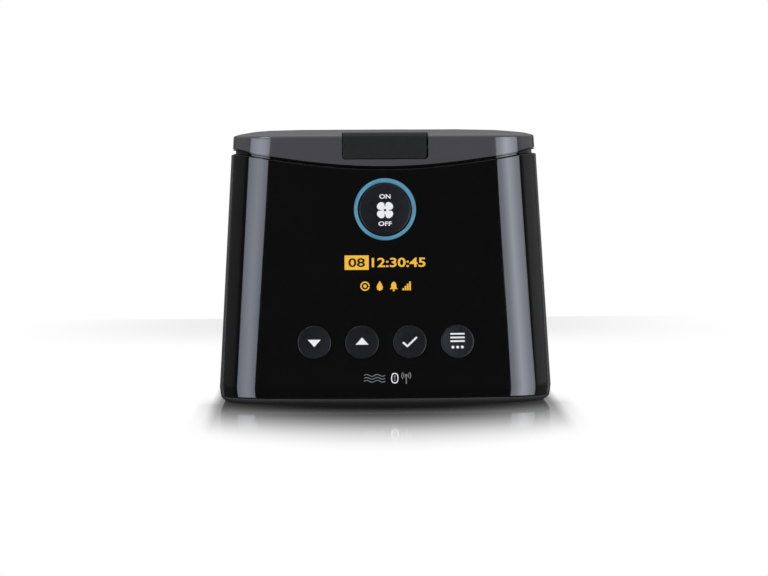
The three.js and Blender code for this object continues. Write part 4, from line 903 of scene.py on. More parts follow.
class CpapFinishes(bpy.types.PropertyGroup):
    """Colours of the finishes"""

    gloss_black: swatch("Front panel", "Polished front panel", (13, 13, 13))
    lid_charcoal: swatch("Lid", "Lid's outer colour", (73, 73, 78))
    case_charcoal: swatch("Case", "Sides, rear and base", (54, 54, 55))
    latch_dark: swatch("Latch", "Grained latch pad", (19, 19, 20))
    key_black: swatch("Keys", "Keys and start button", (24, 24, 29))
    ring_blue: swatch("Light ring", "Ring round the start button", (76, 132, 158))
    display_amber: swatch("Display", "Lit signs of the display", (240, 186, 62))
    print_white: swatch("White print", "Symbols on the keys", (246, 246, 249))
    print_grey: swatch("Grey print", "Symbols low on the front panel", (128, 128, 130))
    inner_grey: swatch("Inner grey", "Inner ducts and liner", (142, 145, 149))
    inner_black: swatch("Inner black", "Humidifier bay and blower", (30, 31, 33))


class CpapStage(bpy.types.PropertyGroup):
    """Floor and studio light"""

    left_box: brightness("Left box", "the left light box", 1.0)
    right_box: brightness("Right box", "the right light box", 1.0)
    fill: brightness("Fill", "the soft lamps beside the camera", 2.0)
    back: brightness("Back", "the soft lamps behind the machine", 1.5)
    top_box: brightness("Top box", "the light above", 1.6)
    rim_light: brightness("Rim light", "the small lamp high on the left", 14)
    sky: brightness("Sky", "the even light from all sides", 0.55)
    mirror_reach: length("Mirror reach", "How far round the machine the floor still mirrors it", 165 * MM)


class StageOperator(bpy.types.Operator):
    """Makes the camera, the floor, the backdrop and the studio lights"""

    bl_idname = "cpap.stage"
    bl_label = "Stage"

    def execute(self, context):
        settings = context.scene.cpap_stage
        place_camera(context.scene)
        make_floor(settings)
        make_world(context.scene, settings)
        light_box("left_box", -1, settings.left_box, LEFT_BOX, LEFT_GLOW, LEFT_TINT)
        light_box("right_box", 1, settings.right_box, RIGHT_BOX, RIGHT_GLOW, RIGHT_TINT)
        for name, place, target, size, setting, mirrored in LAMPS:
            area_light(name, Vector(place), Vector(target), size, getattr(settings, setting), mirrored)
        context.scene.view_settings.view_transform = "Standard"
        return {"FINISHED"}


# Lamps: name, place, target, edge length, setting that gives the brightness, whether it shows in reflections
LAMPS = (
    ("fill_light", (-0.95, -1.3, 0.5), (0, FRONT_Y, 0.1), 0.9, "fill", False),
    ("fill_light", (0.95, -1.3, 0.5), (0, FRONT_Y, 0.1), 0.9, "fill", False),
    ("top_light", (0, 0.1, 1.5), (0, 0.1, 0), 1.6, "top_box", False),
    ("back_light", (-0.9, 1.3, 0.8), (0, REAR_Y, 0.08), 0.8, "back", False),
    ("back_light", (0.9, 1.3, 0.8), (0, REAR_Y, 0.08), 0.8, "back", False),
    ("rim_light", (-0.55, -0.75, 1.1), (0, FRONT_Y, 0.1), 0.3, "rim_light", True),
)


def place_camera(scene):
    """The camera, turned to the right, down and round its own axis as it was fitted"""
    forward = Vector((
        math.sin(CAMERA_RIGHT) * math.cos(CAMERA_DOWN),
        math.cos(CAMERA_RIGHT) * math.cos(CAMERA_DOWN),
        -math.sin(CAMERA_DOWN)))
    level_right = Vector((math.cos(CAMERA_RIGHT), -math.sin(CAMERA_RIGHT), 0))
    level_up = level_right.cross(forward)
    right = level_right * math.cos(CAMERA_ROLL) + level_up * math.sin(CAMERA_ROLL)
    up = level_up * math.cos(CAMERA_ROLL) - level_right * math.sin(CAMERA_ROLL)
    data = bpy.data.cameras.new("camera")
    data.sensor_width = SENSOR_WIDTH
    data.lens = FOCAL_PIXELS / IMAGE_WIDTH * SENSOR_WIDTH
    camera = placed("camera", data)
    axes = Matrix((right, up, -forward)).transposed().to_4x4()
    camera.matrix_world = Matrix.Translation(CAMERA_PLACE) @ axes
    scene.camera = camera


# Floor: its size, the painted grey band of shade behind the machine, its painted shadow, and how the mirror image's end
# bows
FLOOR_SIZE = 6.0
BAND_START_Y = 150 * MM
BAND_FULL_Y = 313 * MM
BAND_END_Y = 384 * MM
BAND_SHADE_GREY = 0.155
BAND_FADE_X = (90 * MM, 290 * MM)
SHADOW_GREY = 0.46
SHADOW_START, SHADOW_FULL, SHADOW_END = -64 * MM, -12 * MM, 100 * MM
MIRROR_BOW = 5.2


def make_floor(settings):
    """A white floor that mirrors the machine close by, with its painted soft shadow and a painted grey band of shade
    far behind
    """
    half = FLOOR_SIZE / 2
    corners = [(-half, -half, 0), (half, -half, 0), (half, half, 0), (-half, half, 0)]
    floor = mesh_object("floor", corners, [(0, 1, 2, 3)])
    material = bpy.data.materials.new("studio_floor")
    graph = Graph(material)
    x, y = graph.parts(graph.place())[:2]
    beside, before, behind = abs(x), FRONT_Y - y, y - REAR_Y
    fade = (before + x * x * MIRROR_BOW).between(-1 * MM, settings.mirror_reach)
    mirror = (1 - fade) * (1 - beside.ramp(HALF_WIDTH - 1 * MM, HALF_WIDTH + 5 * MM))
    mirror = mirror * (1 - behind.between(-6 * MM, settings.mirror_reach * 0.4))
    # Painted shade: a grey band across the floor far behind the machine, fading out to the sides
    band = y.between(BAND_START_Y, BAND_FULL_Y) * (1 - y.ramp(BAND_END_Y - 12 * MM, BAND_END_Y))
    band = band * (1 - beside.between(*BAND_FADE_X))
    # Painted shadow: a soft dark patch on the floor round the machine's front edge, fading out forwards and a little
    # beyond its sides
    rising = before.ramp(SHADOW_START, SHADOW_FULL)
    falling = 1 - before.ramp(SHADOW_FULL, SHADOW_END)
    shadow = rising * rising * falling ** 1.4 * (1 - beside.ramp(HALF_WIDTH, HALF_WIDTH + 13 * MM))
    paper = graph.colours((1, 1, 1), (0, 0, 0), band * BAND_SHADE_GREY + shadow * SHADOW_GREY)
    rays = graph.node("ShaderNodeLightPath").socket.node.outputs
    seen = Value(graph, rays["Is Camera Ray"]) + Value(graph, rays["Is Transmission Ray"])
    # The floor glows onto the machine in place of bounce light, weaker close beside it as painted shade
    dim = beside.between(HALF_WIDTH - 20 * MM, HALF_WIDTH + 90 * MM) * 0.35 + 0.1
    lit = graph.node("ShaderNodeEmission", None, {"Color": paper, "Strength": seen + (1 - seen) * dim})
    shine = graph.node("ShaderNodeBsdfGlossy", None, {"Color": (1, 1, 1, 1), "Roughness": 0.07})
    mixed = graph.node("ShaderNodeMixShader", None, {0: mirror, 1: lit, 2: shine})
    graph.node("ShaderNodeOutputMaterial", None, {"Surface": mixed})
    floor.data.materials.append(material)
    floor.visible_glossy = False


# Room that reflections show: its brightness in front, at the left, at the right, behind and above
ROOM_FRONT = 0.02
ROOM_LEFT = 0.2
ROOM_RIGHT = 0.53
ROOM_REAR = 0.21
ROOM_ABOVE = 0.3


def make_world(scene, settings):
    """White to the eye, but in reflections a dark room in front with lighter walls beside and behind"""
    world = bpy.data.worlds.new("studio")
    scene.world = world
    graph = Graph(world)
    path = graph.node("ShaderNodeLightPath")
    camera, glossy, transmission = (
        Value(graph, path.socket.node.outputs[name])
        for name in ("Is Camera Ray", "Is Glossy Ray", "Is Transmission Ray"))
    x, y, z = graph.parts(graph.node("ShaderNodeTexCoord", out=0))
    wall = y.between(-0.5, -0.28)
    side = ROOM_LEFT + x.between(-0.1, 0.1) * (ROOM_RIGHT - ROOM_LEFT)
    back = y.between(0.55, 0.9)
    above = z.between(0.2, 0.6)
    below = z.between(0.0, -0.12)
    room = ROOM_FRONT + wall * (side * (1 - back) + back * ROOM_REAR)
    room = room * (1 - below * 0.6) + above * ROOM_ABOVE
    seen = camera + transmission
    strength = seen + glossy * room + (1 - seen - glossy) * settings.sky
    values = {"Color": (1, 1, 1, 1), "Strength": graph.math("MINIMUM", strength, 1.0)}
    sky = graph.node("ShaderNodeBackground", None, values)
    graph.node("ShaderNodeOutputWorld", None, {"Surface": sky})


# Light boxes: distance from the front, angle to its sides, and their outlines as [height above the floor, inner
# edge, outer edge] in metres from their middle line
BOX_DISTANCE = 1.5
BOX_AZIMUTH = 39.5
LEFT_BOX = ((-0.8, 0.31, -0.545), (0.12, 0.31, -0.545), (0.39, 0.42, -0.53), (0.5, 0.445, -0.525))
RIGHT_BOX = (
    (-0.8, -0.465, 0.70), (0.1, -0.465, 0.665), (0.17, -0.462, 0.615), (0.36, -0.484, 0.57), (0.5, -0.487, 0.56))
# Colours of their light, which are scaled by the strongest part to fit a ramp's range
LEFT_TINT = (0.90, 0.965, 1.135)
RIGHT_TINT = (0.925, 0.965, 1.11)
TINT_PEAK = 1.135
# Brightness from the inner to the outer edge: [share of the width, brightness]
LEFT_GLOW = ((0.0, 3.5), (0.12, 4.2), (0.26, 5.1), (0.42, 5.4), (0.62, 4.8), (0.84, 4.0), (1.0, 3.2))
RIGHT_GLOW = ((0.0, 3.6), (0.12, 4.1), (0.28, 6.2), (0.4, 7.8), (0.52, 7.0), (0.72, 5.2), (0.88, 4.4), (1.0, 3.2))


def light_box(name, side, strength, outline, glow, tint):
    """A light box that shows only in reflections, brightest along its middle"""
    angle = math.radians(BOX_AZIMUTH * side)
    middle = Vector((math.sin(angle) * BOX_DISTANCE, FRONT_Y - math.cos(angle) * BOX_DISTANCE, 0))
    across = Vector((math.cos(angle), math.sin(angle), 0))
    points, faces = [], []
    for z, *edges in outline:
        points += [middle + across * edge + Vector((0, 0, z)) for edge in edges]
    for i in range(len(outline) - 1):
        faces.append((2 * i, 2 * i + 1, 2 * i + 3, 2 * i + 2))
    box = mesh_object(name, points, faces)
    layer = box.data.uv_layers.new(name="across")
    for loop in box.data.loops:
        layer.data[loop.index].uv = (loop.vertex_index % 2, 0)
    material = bpy.data.materials.new(name)
    graph = Graph(material)
    share = graph.parts(graph.node("ShaderNodeUVMap", {"uv_map": "across"}))[0]
    top = max(level for _, level in glow)
    stops = [(place, darker(tint, level / top / TINT_PEAK)) for place, level in glow]
    tone = graph.node("ShaderNodeValToRGB", {"stops": stops}, {0: share})
    light = graph.node("ShaderNodeEmission", None, {"Color": tone, "Strength": top * TINT_PEAK * strength})
    graph.node("ShaderNodeOutputMaterial", None, {"Surface": light})
    box.data.materials.append(material)
    box.visible_camera = box.visible_diffuse = box.visible_transmission = box.visible_shadow = False


def area_light(name, place, target, size, strength, mirrored):
    """Square lamp whose own surface has a strength, where 1 is white"""
    data = bpy.data.lights.new(name, "AREA")
    data.shape = "RECTANGLE"
    data.size = data.size_y = size
    data.energy = strength * size * size * math.pi
    lamp = placed(name, data)
    lamp.location = place
    lamp.rotation_euler = (target - place).to_track_quat("-Z", "Y").to_euler()
    lamp.visible_glossy = mirrored


class FrontPanelOperator(bpy.types.Operator):
    """Makes the gloss black front panel that wraps round both front corners"""

    bl_idname = "cpap.front_panel"
    bl_label = "Front panel"

    def execute(self, context):
        sizes = context.scene.cpap_sizes
        low, high = panel_curve(WIDEST_Z), panel_curve(EDGE_Z)
        total, tall = low[2], RIM_Z - CASE_LOW_Z

        def place(u, v, depth):
            p_low, n_low = curve_at(low, u / total)
            p_high, n_high = curve_at(high, u / total)
            z = CASE_LOW_Z + v
            # The edge's height goes with x and x with the height, so they are settled in a few rounds
            for _ in range(3):
                x = lerp(p_low, p_high, (z - WIDEST_Z) / (EDGE_Z - WIDEST_Z))[0]
                z = CASE_LOW_Z + v / tall * (dip_line(x) - CASE_LOW_Z)
            rise = max(0, (z - WIDEST_Z) / (EDGE_Z - WIDEST_Z))
            tuck = SKIRT_TUCK * max(0, (WIDEST_Z - z) / (WIDEST_Z - CASE_LOW_Z))
            x, y = lerp(p_low, p_high, rise) + lerp(n_low, n_high, rise) * (depth + tuck)
            return Vector((x, y, z))

        groove, radius = sizes.seam_groove, sizes.panel_rounding
        us = spaced(groove, total - groove, radius, sizes.grid_step)
        vs = spaced(0, tall, radius, sizes.grid_step)
        panel = sheet("front_panel", us, vs, place, CASE_WALL, radius)
        # Near-black strips set back in the side grooves, as painted shade in the seams
        for side, start in (("left", 0), ("right", total - groove - 0.4 * MM)):
            strip = sheet("seam_gasket_" + side, [start + groove * k / 3 for k in range(5)], vs,
                          lambda u, v, depth: place(u, v, depth + SEAM_SHADE_DEPTH), SEAM_SHADE_THICKNESS, 0)
            finished(strip, "seam_rubber", "case")
        cutters = [turned("cut", cutter_outline(KEY_RADIUS + FIT), panel_matrix(x, KEYS_Z)) for x in KEYS.values()]
        cutters.append(turned("cut", cutter_outline(RING_SHOWN + RING_GAP), panel_matrix(0, START_Z)))
        carved(panel, joined_mesh("cutters", cutters))
        evened(finished(panel, "gloss_black", "case", "front_fascia"))
        return {"FINISHED"}


def cutter_outline(radius):
    """Outline of a turned tool that reaches through the panel's wall"""
    return [(0, -6 * MM), (radius, -6 * MM), (radius, 3 * MM), (0, 3 * MM)]


def panel_curve(z):
    """The front panel's outline from its left seam to its right one: points, inward normals, length, lengths"""
    front_steps, corner_steps = 60, 160
    right = np.array(half_outline(z, steps=(front_steps, corner_steps, 2, 2)))[:front_steps + corner_steps + 1]
    seam = front_y_at(z) + SEAM_DEPTH - SEAM_GAP / 2
    keep = right[right[:, 1] <= seam]
    curve = np.vstack([keep[::-1] * [-1, 1], keep[1:]])
    steps = np.linalg.norm(np.diff(curve, axis=0), axis=1)
    along = np.concatenate([[0], np.cumsum(steps)])
    tangent = np.gradient(curve, axis=0)
    tangent /= np.linalg.norm(tangent, axis=1)[:, None]
    inward = np.column_stack([-tangent[:, 1], tangent[:, 0]])
    return curve, inward, along[-1], along


def curve_at(data, share):
    """Point and inward normal at a share of the outline's length"""
    curve, inward, total, along = data
    at = share * total
    point = np.array([np.interp(at, along, curve[:, k]) for k in (0, 1)])
    normal = np.array([np.interp(at, along, inward[:, k]) for k in (0, 1)])
    return point, normal / np.linalg.norm(normal)


class KeysOperator(bpy.types.Operator):
    """Makes the four round keys"""

    bl_idname = "cpap.keys"
    bl_label = "Keys"

    def execute(self, context):
        sizes = context.scene.cpap_sizes
        for name, x in KEYS.items():
            stem_end = bow_at(x) - STEM_LENGTH
            outline = button_outline(KEY_RADIUS, KEY_THICKNESS, stem_end, sizes.key_rounding, sizes.key_dish)
            key = turned(name + "_key", outline, panel_matrix(x, KEYS_Z))
            finished(key, "key_black", name, "key_" + name)
        return {"FINISHED"}


def button_outline(radius, thickness, stem_end, rounding, dish):
    """A button with a rounded rim, a shallow dish in its face and its stem behind"""
    flange, flange_front = radius + KEY_FLANGE, KEY_FLANGE_THICKNESS - thickness
    points = [(0, stem_end), (STEM_RADIUS, stem_end), (STEM_RADIUS, -thickness),
              (flange, -thickness), (flange, flange_front), (radius, flange_front)]
    points += rim(radius, rounding, 7)
    inner = radius - rounding - 0.5 * MM
    for share in np.linspace(0, 1, 9):
        points.append((inner * (1 - share), -dish * math.sin(share * math.pi / 2) ** 0.7))
    return points


class StartOperator(bpy.types.Operator):
    """Makes the start button and its light ring"""

    bl_idname = "cpap.start"
    bl_label = "Start button"

    def execute(self, context):
        sizes = context.scene.cpap_sizes
        matrix = panel_matrix(0, START_Z)
        button = [
            (0, -STEM_LENGTH), (STEM_RADIUS, -STEM_LENGTH), (STEM_RADIUS, -START_THICKNESS),
            (START_GUIDE_RADIUS, -START_THICKNESS), (START_GUIDE_RADIUS, -START_GUIDE_FRONT),
            (START_RADIUS, -START_GUIDE_FRONT), *rim(START_RADIUS, sizes.key_rounding), (0, 0)]
        finished(turned("start_disc", button, matrix, 128), "key_black", "start", "start_button")
        ring = [
            (RING_INNER, -RING_DEPTH), (RING_OUTER, -RING_DEPTH), (RING_OUTER, -RING_FLANGE_BACK),
            (RING_FLANGE_RADIUS, -RING_FLANGE_BACK), (RING_FLANGE_RADIUS, -RING_FLANGE_FRONT),
            (RING_SHOWN, -RING_FLANGE_FRONT), *rim(RING_SHOWN, RING_ROUNDING)]
        ring += [(2 * RING_INNER - radius, height) for radius, height in reversed(rim(RING_INNER, RING_ROUNDING))]
        finished(turned("glow_ring", ring, matrix, 128), "ring_blue", "case", "light_ring")
        return {"FINISHED"}


def rim(radius, rounding, count=6):
    """The rounding of a turned piece's front edge, from its side to its face"""
    return [(radius - rounding * (1 - math.cos(a)), -rounding * (1 - math.sin(a)))
            for a in np.linspace(0, math.pi / 2, count)]


class LidOperator(bpy.types.Operator):
    """Makes the lid's outer cover"""

    bl_idname = "cpap.lid"
    bl_label = "Lid"

    def execute(self, context):
        sizes = context.scene.cpap_sizes
        lid = stack("lid_shell", self.shell_rings(sizes.lid_trim))
        back = LATCH_TRAVEL + LATCH_GAP + bow_at(LATCH_HALF_WIDTH)
        window = latch_window(LATCH_GAP, back, sizes.latch_corner)
        half = KNUCKLE_NOTCH_HALF_WIDTH
        notches = [box_object("notch", (side * HINGE_X - half, KNUCKLE_NOTCH_Y, 0.1), (side * HINGE_X + half, 0.2, 0.2))
                   for side in (-1, 1)]
        carved(lid, window, *notches, *self.seam_grooves())
        evened(finished(lid, "lid_charcoal", "lid", "lid_cover"))
        self.make_trim(sizes.lid_trim)
        hinge_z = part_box("hinge_pin_left")[0][2] + HINGE_PIN_RADIUS
        for side, name in ((-1, "left"), (1, "right")):
            finished(knuckle("lid_knuckle_" + name, side * HINGE_X, hinge_z), "lid_charcoal", "lid")
        return {"FINISHED"}

    def shell_rings(self, trim):
        """Rings of the lid's shell, from the middle of its top out, down its wall and back inside"""
        rings = [self.level(EDGE_Z, inset * MM, LID_REAR_Y, EDGE_Z + crown_rise(inset * MM)) for inset in CROWN_INSETS]
        for angle in np.linspace(math.pi / 2, 0, 6):
            z = EDGE_Z - EDGE_ROUNDING * (1 - math.sin(angle))
            rings.append(self.level(z, EDGE_ROUNDING * (1 - math.cos(angle)), LID_REAR_Y, z))
        for share in np.linspace(1, 0, 5)[1:]:
            rings.append(self.wall(share, 0, trim + LID_EDGE, LID_REAR_Y))
        rings.append(self.wall(0, LID_EDGE * 0.3, trim + LID_EDGE * 0.3, LID_REAR_Y))
        rings.append(self.wall(0, LID_EDGE, trim, LID_REAR_Y))
        rings.append(self.wall(0, LID_WALL, trim, LID_CAVITY_REAR_Y))
        top = EDGE_Z - LID_WALL
        for inset, rise in ((0, 0), (8 * MM, 1 * MM), (34 * MM, 1.9 * MM)):
            rings.append(self.level(top, LID_WALL + inset, LID_CAVITY_REAR_Y, top + rise))
        return rings

    def seam_grooves(self):
        """Slabs that lead the seams beside the front panel on into the lid"""
        tilt = Matrix.Rotation(-math.atan(front_slope()), 4, "X")
        slabs = []
        for side in (-1, 1):
            half, thin = LID_SLAB
            slab = box_object("groove", (-half, -thin, -12 * MM), (half, thin, 16 * MM))
            x = side * (half_width_at(RIM_Z) + 0.9 * MM)
            slab.data.transform(Matrix.Translation((x, front_y_at(RIM_Z) + SEAM_DEPTH, RIM_Z)) @ tilt)
            slabs.append(slab)
        return slabs

    def make_trim(self, trim):
        """The glossy trim under the lid's wall, with the skirt inside it that closes the gap to the case; their gloss
        black is painted shade for the dark line where the lid meets the case
        """
        slit, proud = 0.28 * MM, 0.12 * MM
        outer, inner = 1.7 * MM, 2.5 * MM
        rear = LID_CAVITY_REAR_Y - 2 * MM
        profile = [
            (inner, trim + 0.6 * MM), (0.9 * MM, trim + 0.6 * MM), (0.9 * MM, trim - slit),
            (proud + 0.15 * MM, trim - slit), (proud, trim - slit - 0.15 * MM), (proud, 0.25 * MM),
            (proud + 0.12 * MM, 0.08 * MM), (proud + 0.35 * MM, 0), (outer, 0), (outer, None), (inner, None)]
        rings = [self.wall(0, inset, above, rear) for inset, above in profile]
        evened(finished(stack("lid_trim", rings, looped=True), "gloss_black", "lid"))

    def level(self, z, inset, rear, height):
        """A level ring of the lid with the case's outline at z"""
        return [(x * LID_WIDTH_SHARE, y, height) for x, y in full_outline(z, inset, rear)]

    def wall(self, share, inset, above, rear):
        """A ring of the wall between the lid's lower line, or the case's rim below it, and its rounded top edge"""
        points = []
        for x, y in full_outline(RIM_Z, inset, rear):
            low = dip_line(x) + 0.3 * MM if above is None else lid_line(x) + above
            z = lerp(low, EDGE_Z - EDGE_ROUNDING, share)
            points.append((x, y, z))
        moved = []
        for (x, y, z), (x_top, y_top) in zip(points, full_outline(EDGE_Z, inset, rear)):
            rise = (z - RIM_Z) / (EDGE_Z - RIM_Z)
            moved.append((lerp(x, x_top, rise) * LID_WIDTH_SHARE, lerp(y, y_top, rise), z))
        return moved


def round_part(x, y, radius, start, turn, count):
    """Points of a part of a circle, with its start and turn in degrees"""
    angles = [math.radians(start + turn * i / count) for i in range(count + 1)]
    return [(x + radius * math.cos(a), y + radius * math.sin(a)) for a in angles]


def knuckle(name, x, z):
    """A hinge barrel of the lid with a web to the wall that carries it"""
    half, radius = KNUCKLE_HALF_WIDTH, KNUCKLE_RADIUS
    points = round_part(HINGE_Y, z, radius, -90, 180, 24)
    points += [(KNUCKLE_WALL_Y, z + radius), (KNUCKLE_WALL_Y, z - radius * 0.5)]
    barrel = stack(name, [[(x + side * half, py, pz) for py, pz in points] for side in (-1, 1)])
    hole = [(0, -2 * half), (KNUCKLE_BORE_RADIUS, -2 * half), (KNUCKLE_BORE_RADIUS, 2 * half), (0, 2 * half)]
    along = Matrix.Translation((x, HINGE_Y, z)) @ Matrix.Rotation(math.pi / 2, 4, "Y")
    return carved(barrel, turned("pin_hole", hole, along, 32))


def latch_window(grow, back, corner):
    """Solid that cuts the latch's place out of the lid"""
    left, right, low = -LATCH_HALF_WIDTH - grow, LATCH_HALF_WIDTH + LATCH_GAP_RIGHT, LATCH_Z - grow
    radius = corner + grow
    points = [(right, 0.2), (left, 0.2)]
    points += round_part(left + radius, low + radius, radius, 180, 90, 6)
    points += round_part(right - radius, low + radius, radius, 270, 90, 6)
    rear = front_y_at(EDGE_Z) + LATCH_TOP_LENGTH + back
    return stack("window", [[(x, y, z) for x, z in points] for y in (-0.3, rear)])


class LatchOperator(bpy.types.Operator):
    """Makes the grained latch pad in the middle of the lid's front"""

    bl_idname = "cpap.latch"
    bl_label = "Latch"

    def execute(self, context):
        sizes = context.scene.cpap_sizes
        rounding = EDGE_ROUNDING
        face = EDGE_Z - rounding - LATCH_Z
        turn = rounding * math.pi / 2
        top = LATCH_TOP_LENGTH - rounding
        total = face + turn + top

        def place(u, v, depth):
            slope = front_slope()
            if v <= face:
                z = LATCH_Z + v
                y, normal = front_y_at(z), Vector((0, 1, -slope)).normalized()
            elif v <= face + turn:
                a = (v - face) / rounding
                z = EDGE_Z - rounding * (1 - math.sin(a))
                y = front_y_at(z) + rounding * (1 - math.cos(a))
                normal = Vector((0, math.cos(a), -math.sin(a)))
            else:
                inset = rounding + v - face - turn
                z = EDGE_Z + crown_rise(inset)
                y, normal = front_y_at(EDGE_Z) + inset, Vector((0, 0, -1))
            point = Vector((u, y + bow_at(u), z))
            return point + normal * depth

        radius = sizes.latch_rounding
        us = spaced(-LATCH_HALF_WIDTH, LATCH_HALF_WIDTH, radius, 1.2 * MM)
        edge_rows = [face + turn * share for share in (0, 0.25, 0.5, 0.75, 1)]
        vs = sorted(set(spaced(0, total, radius, 1 * MM) + edge_rows))
        pad = sheet("latch_pad", us, vs, place, LID_WALL, radius, sizes.latch_corner)
        evened(finished(pad, "latch_texture", "latch", "lid_latch"))
        low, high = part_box("lid_latch")
        # Half width, thickness, bottom and top
        inner_parts = {
            "latch_hook": (LATCH_HOOK_HALF_WIDTH, 1.8 * MM, low[2], LATCH_Z + 3.5 * MM),
            "latch_core": (LATCH_CORE_HALF_WIDTH, 3.4 * MM, LATCH_Z + 0.4 * MM, LATCH_Z + 7.4 * MM),
        }
        for name, (half, thickness, bottom, top) in inner_parts.items():
            part = box_object(name, (-half, high[1] - thickness, bottom), (half, high[1], top))
            finished(softened(part, 0.4 * MM), "inner_black", "latch")
        return {"FINISHED"}


class BaseOperator(bpy.types.Operator):
    """Makes the base band and the feet"""

    bl_idname = "cpap.base"
    bl_label = "Base and feet"

    def execute(self, context):
        base = stack("base_band", [[(x, y, z * MM) for x, y in full_outline(WIDEST_Z, inset * MM)]
                                   for z, inset in BASE_OUTLINE])
        seat = [(0, -1 * MM), (FOOT_SEAT_RADIUS, -1 * MM), (FOOT_SEAT_RADIUS, FOOT_SEAT_HEIGHT), (0, FOOT_SEAT_HEIGHT)]
        pad = [(0, 0), (5.4 * MM, 0), (5.7 * MM, 0.06 * MM), (5.86 * MM, 0.2 * MM), (FOOT_RADIUS, 0.4 * MM),
               (FOOT_RADIUS, FOOT_HEIGHT), (0, FOOT_HEIGHT)]
        seats = []
        for place in ("front_left", "front_right", "rear_left", "rear_right"):
            low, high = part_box("foot_" + place)
            middle = Matrix.Translation(((low[0] + high[0]) / 2, (low[1] + high[1]) / 2, 0))
            seats.append(turned("seat", seat, middle, 48))
            foot = turned("foot_pad_" + place, pad, middle, 48)
            finished(foot, "dark_rubber", "case", "foot_" + place)
        carved(base, joined_mesh("seats", seats))
        finished(base, "base_charcoal", "case", "base_tray")
        return {"FINISHED"}


class SymbolsOperator(bpy.types.Operator):
    """Makes the printed and lit symbols of the keys, the start button, the display and the panel"""

    bl_idname = "cpap.symbols"
    bl_label = "Symbols"

    def execute(self, context):
        lift = context.scene.cpap_sizes.symbol_lift
        on_start = flat_place(panel_matrix(0, START_Z), 0)
        decal("start_symbols", "white_print", "start", on_start, lift,
              [word("ON", 0, 7.0, 6.2, 2.5), word("OFF", 0, -8.0, 7.4, 2.5)], [fan(0, -0.55, 5.15)])
        dish = context.scene.cpap_sizes.key_dish
        triangle = [(-3.6, -1.9), (3.6, -1.9), (0, 2.1)]
        check = [(-4.2, -0.5), (-3.4, 0.3), (-1.4, -1.6), (3.5, 3.0), (4.2, 2.3), (-1.4, -3.0)]
        keys = {
            "down": [[(x, -y - 0.4) for x, y in reversed(triangle)]],
            "up": [[(x, y + 0.6) for x, y in triangle]],
            "confirm": [list(reversed(check))],
            "menu": [bar(0, v, 7.9, 0.92) for v in (4.2, 2.2, 0.2)] + [disc(u, -3.1, 0.8) for u in (-2.6, 0, 2.6)],
        }
        for name, shapes in keys.items():
            place = flat_place(panel_matrix(KEYS[name], KEYS_Z), -dish - 0.02 * MM)
            decal(name + "_symbol", "white_print", name, place, lift + 0.1 * MM, [], shapes)
        badge = [oval(4.7, PRINT_Z, 4.0, 5.7), list(reversed(oval(4.7, PRINT_Z, 3.0, 4.7)))]
        badge_sign = [disc(4.7, PRINT_Z + 0.9, 0.6), bar(4.7, PRINT_Z - 0.9, 0.6, 1.6)]
        signs = (
            ("display_box", "amber_light", lift, [], [bar(-15.8, CLOCK_Z, 13.3, 7.9)]),
            ("display_digits", "dark_light", lift * 2, [word("08", -15.8, CLOCK_Z, 9.2, 5.0)], []),
            ("display_clock", "amber_light", lift, [word("12:30:45", 7.3, CLOCK_Z, 29.6, 5.2)], []),
            ("display_icons", "amber_light", lift, [], status_icons(ICONS_Z)),
            ("panel_print", "grey_print", lift, [], waves(-6.4, PRINT_Z, 11.6) + antenna(11.0, PRINT_Z)),
            ("panel_badge", "white_print", lift, [], [badge]),
            ("badge_sign", "grey_print", lift, [], badge_sign),
        )
        for name, finish, height, words, shapes in signs:
            decal(name, finish, "case", on_panel, height, words, shapes)
        return {"FINISHED"}


def flat_place(matrix, level):
    """Maps lengths in millimetres on a flat face to its place"""
    return lambda u, v, w: matrix @ Vector((u * MM, v * MM, w + level))


def on_panel(u, v, w):
    """Maps millimetres across the front panel and above the floor to the panel's surface"""
    return panel_point(u * MM, v * MM, w)


def bar(u, v, width, height):
    """Outline of an upright rectangle round its middle"""
    return [(u - width / 2, v - height / 2), (u + width / 2, v - height / 2),
            (u + width / 2, v + height / 2), (u - width / 2, v + height / 2)]


def disc(u, v, radius, count=24):
    return oval(u, v, 2 * radius, 2 * radius, count)


def oval(u, v, width, height, count=32):
    """A circle, or a slightly squared oval where its width and height differ"""
    power = 0.8 if width != height else 1
    points = []
    for i in range(count):
        a = 2 * math.pi * i / count
        across, up = (math.copysign(abs(part) ** power, part) for part in (math.cos(a), math.sin(a)))
        points.append((u + width / 2 * across, v + height / 2 * up))
    return points


def stroke(path, width):
    """A band of a width along a path"""
    path = [Vector(p) for p in path]
    left, right = [], []
    for i, p in enumerate(path):
        along = (path[min(i + 1, len(path) - 1)] - path[max(i - 1, 0)]).normalized()
        side = Vector((-along.y, along.x)) * width / 2
        left.append(tuple(p + side))
        right.append(tuple(p - side))
    return right + list(reversed(left))


def arc(u, v, radius, start, end, width, count):
    """A band of a width along a part of a circle"""
    path = [(u + radius * math.cos(a), v + radius * math.sin(a))
            for a in np.radians(np.linspace(start, end, count))]
    return stroke(path, width)


def fan(u, v, radius):
    """Generic fan sign: four round blades that meet at a small square hub"""
    outline = []
    for quarter in range(4):
        for t in np.linspace(-1, 1, 17):
            angle = math.radians(45 + 90 * quarter + 44 * t)
            reach = radius * (0.34 + 0.66 * (1 - abs(t) ** 2.6) ** 0.5)
            outline.append((u + reach * math.cos(angle), v + reach * math.sin(angle)))
    hub = [(u + a, v + b) for a, b in ((-0.62, -0.62), (-0.62, 0.62), (0.62, 0.62), (0.62, -0.62))]
    return [outline, hub]


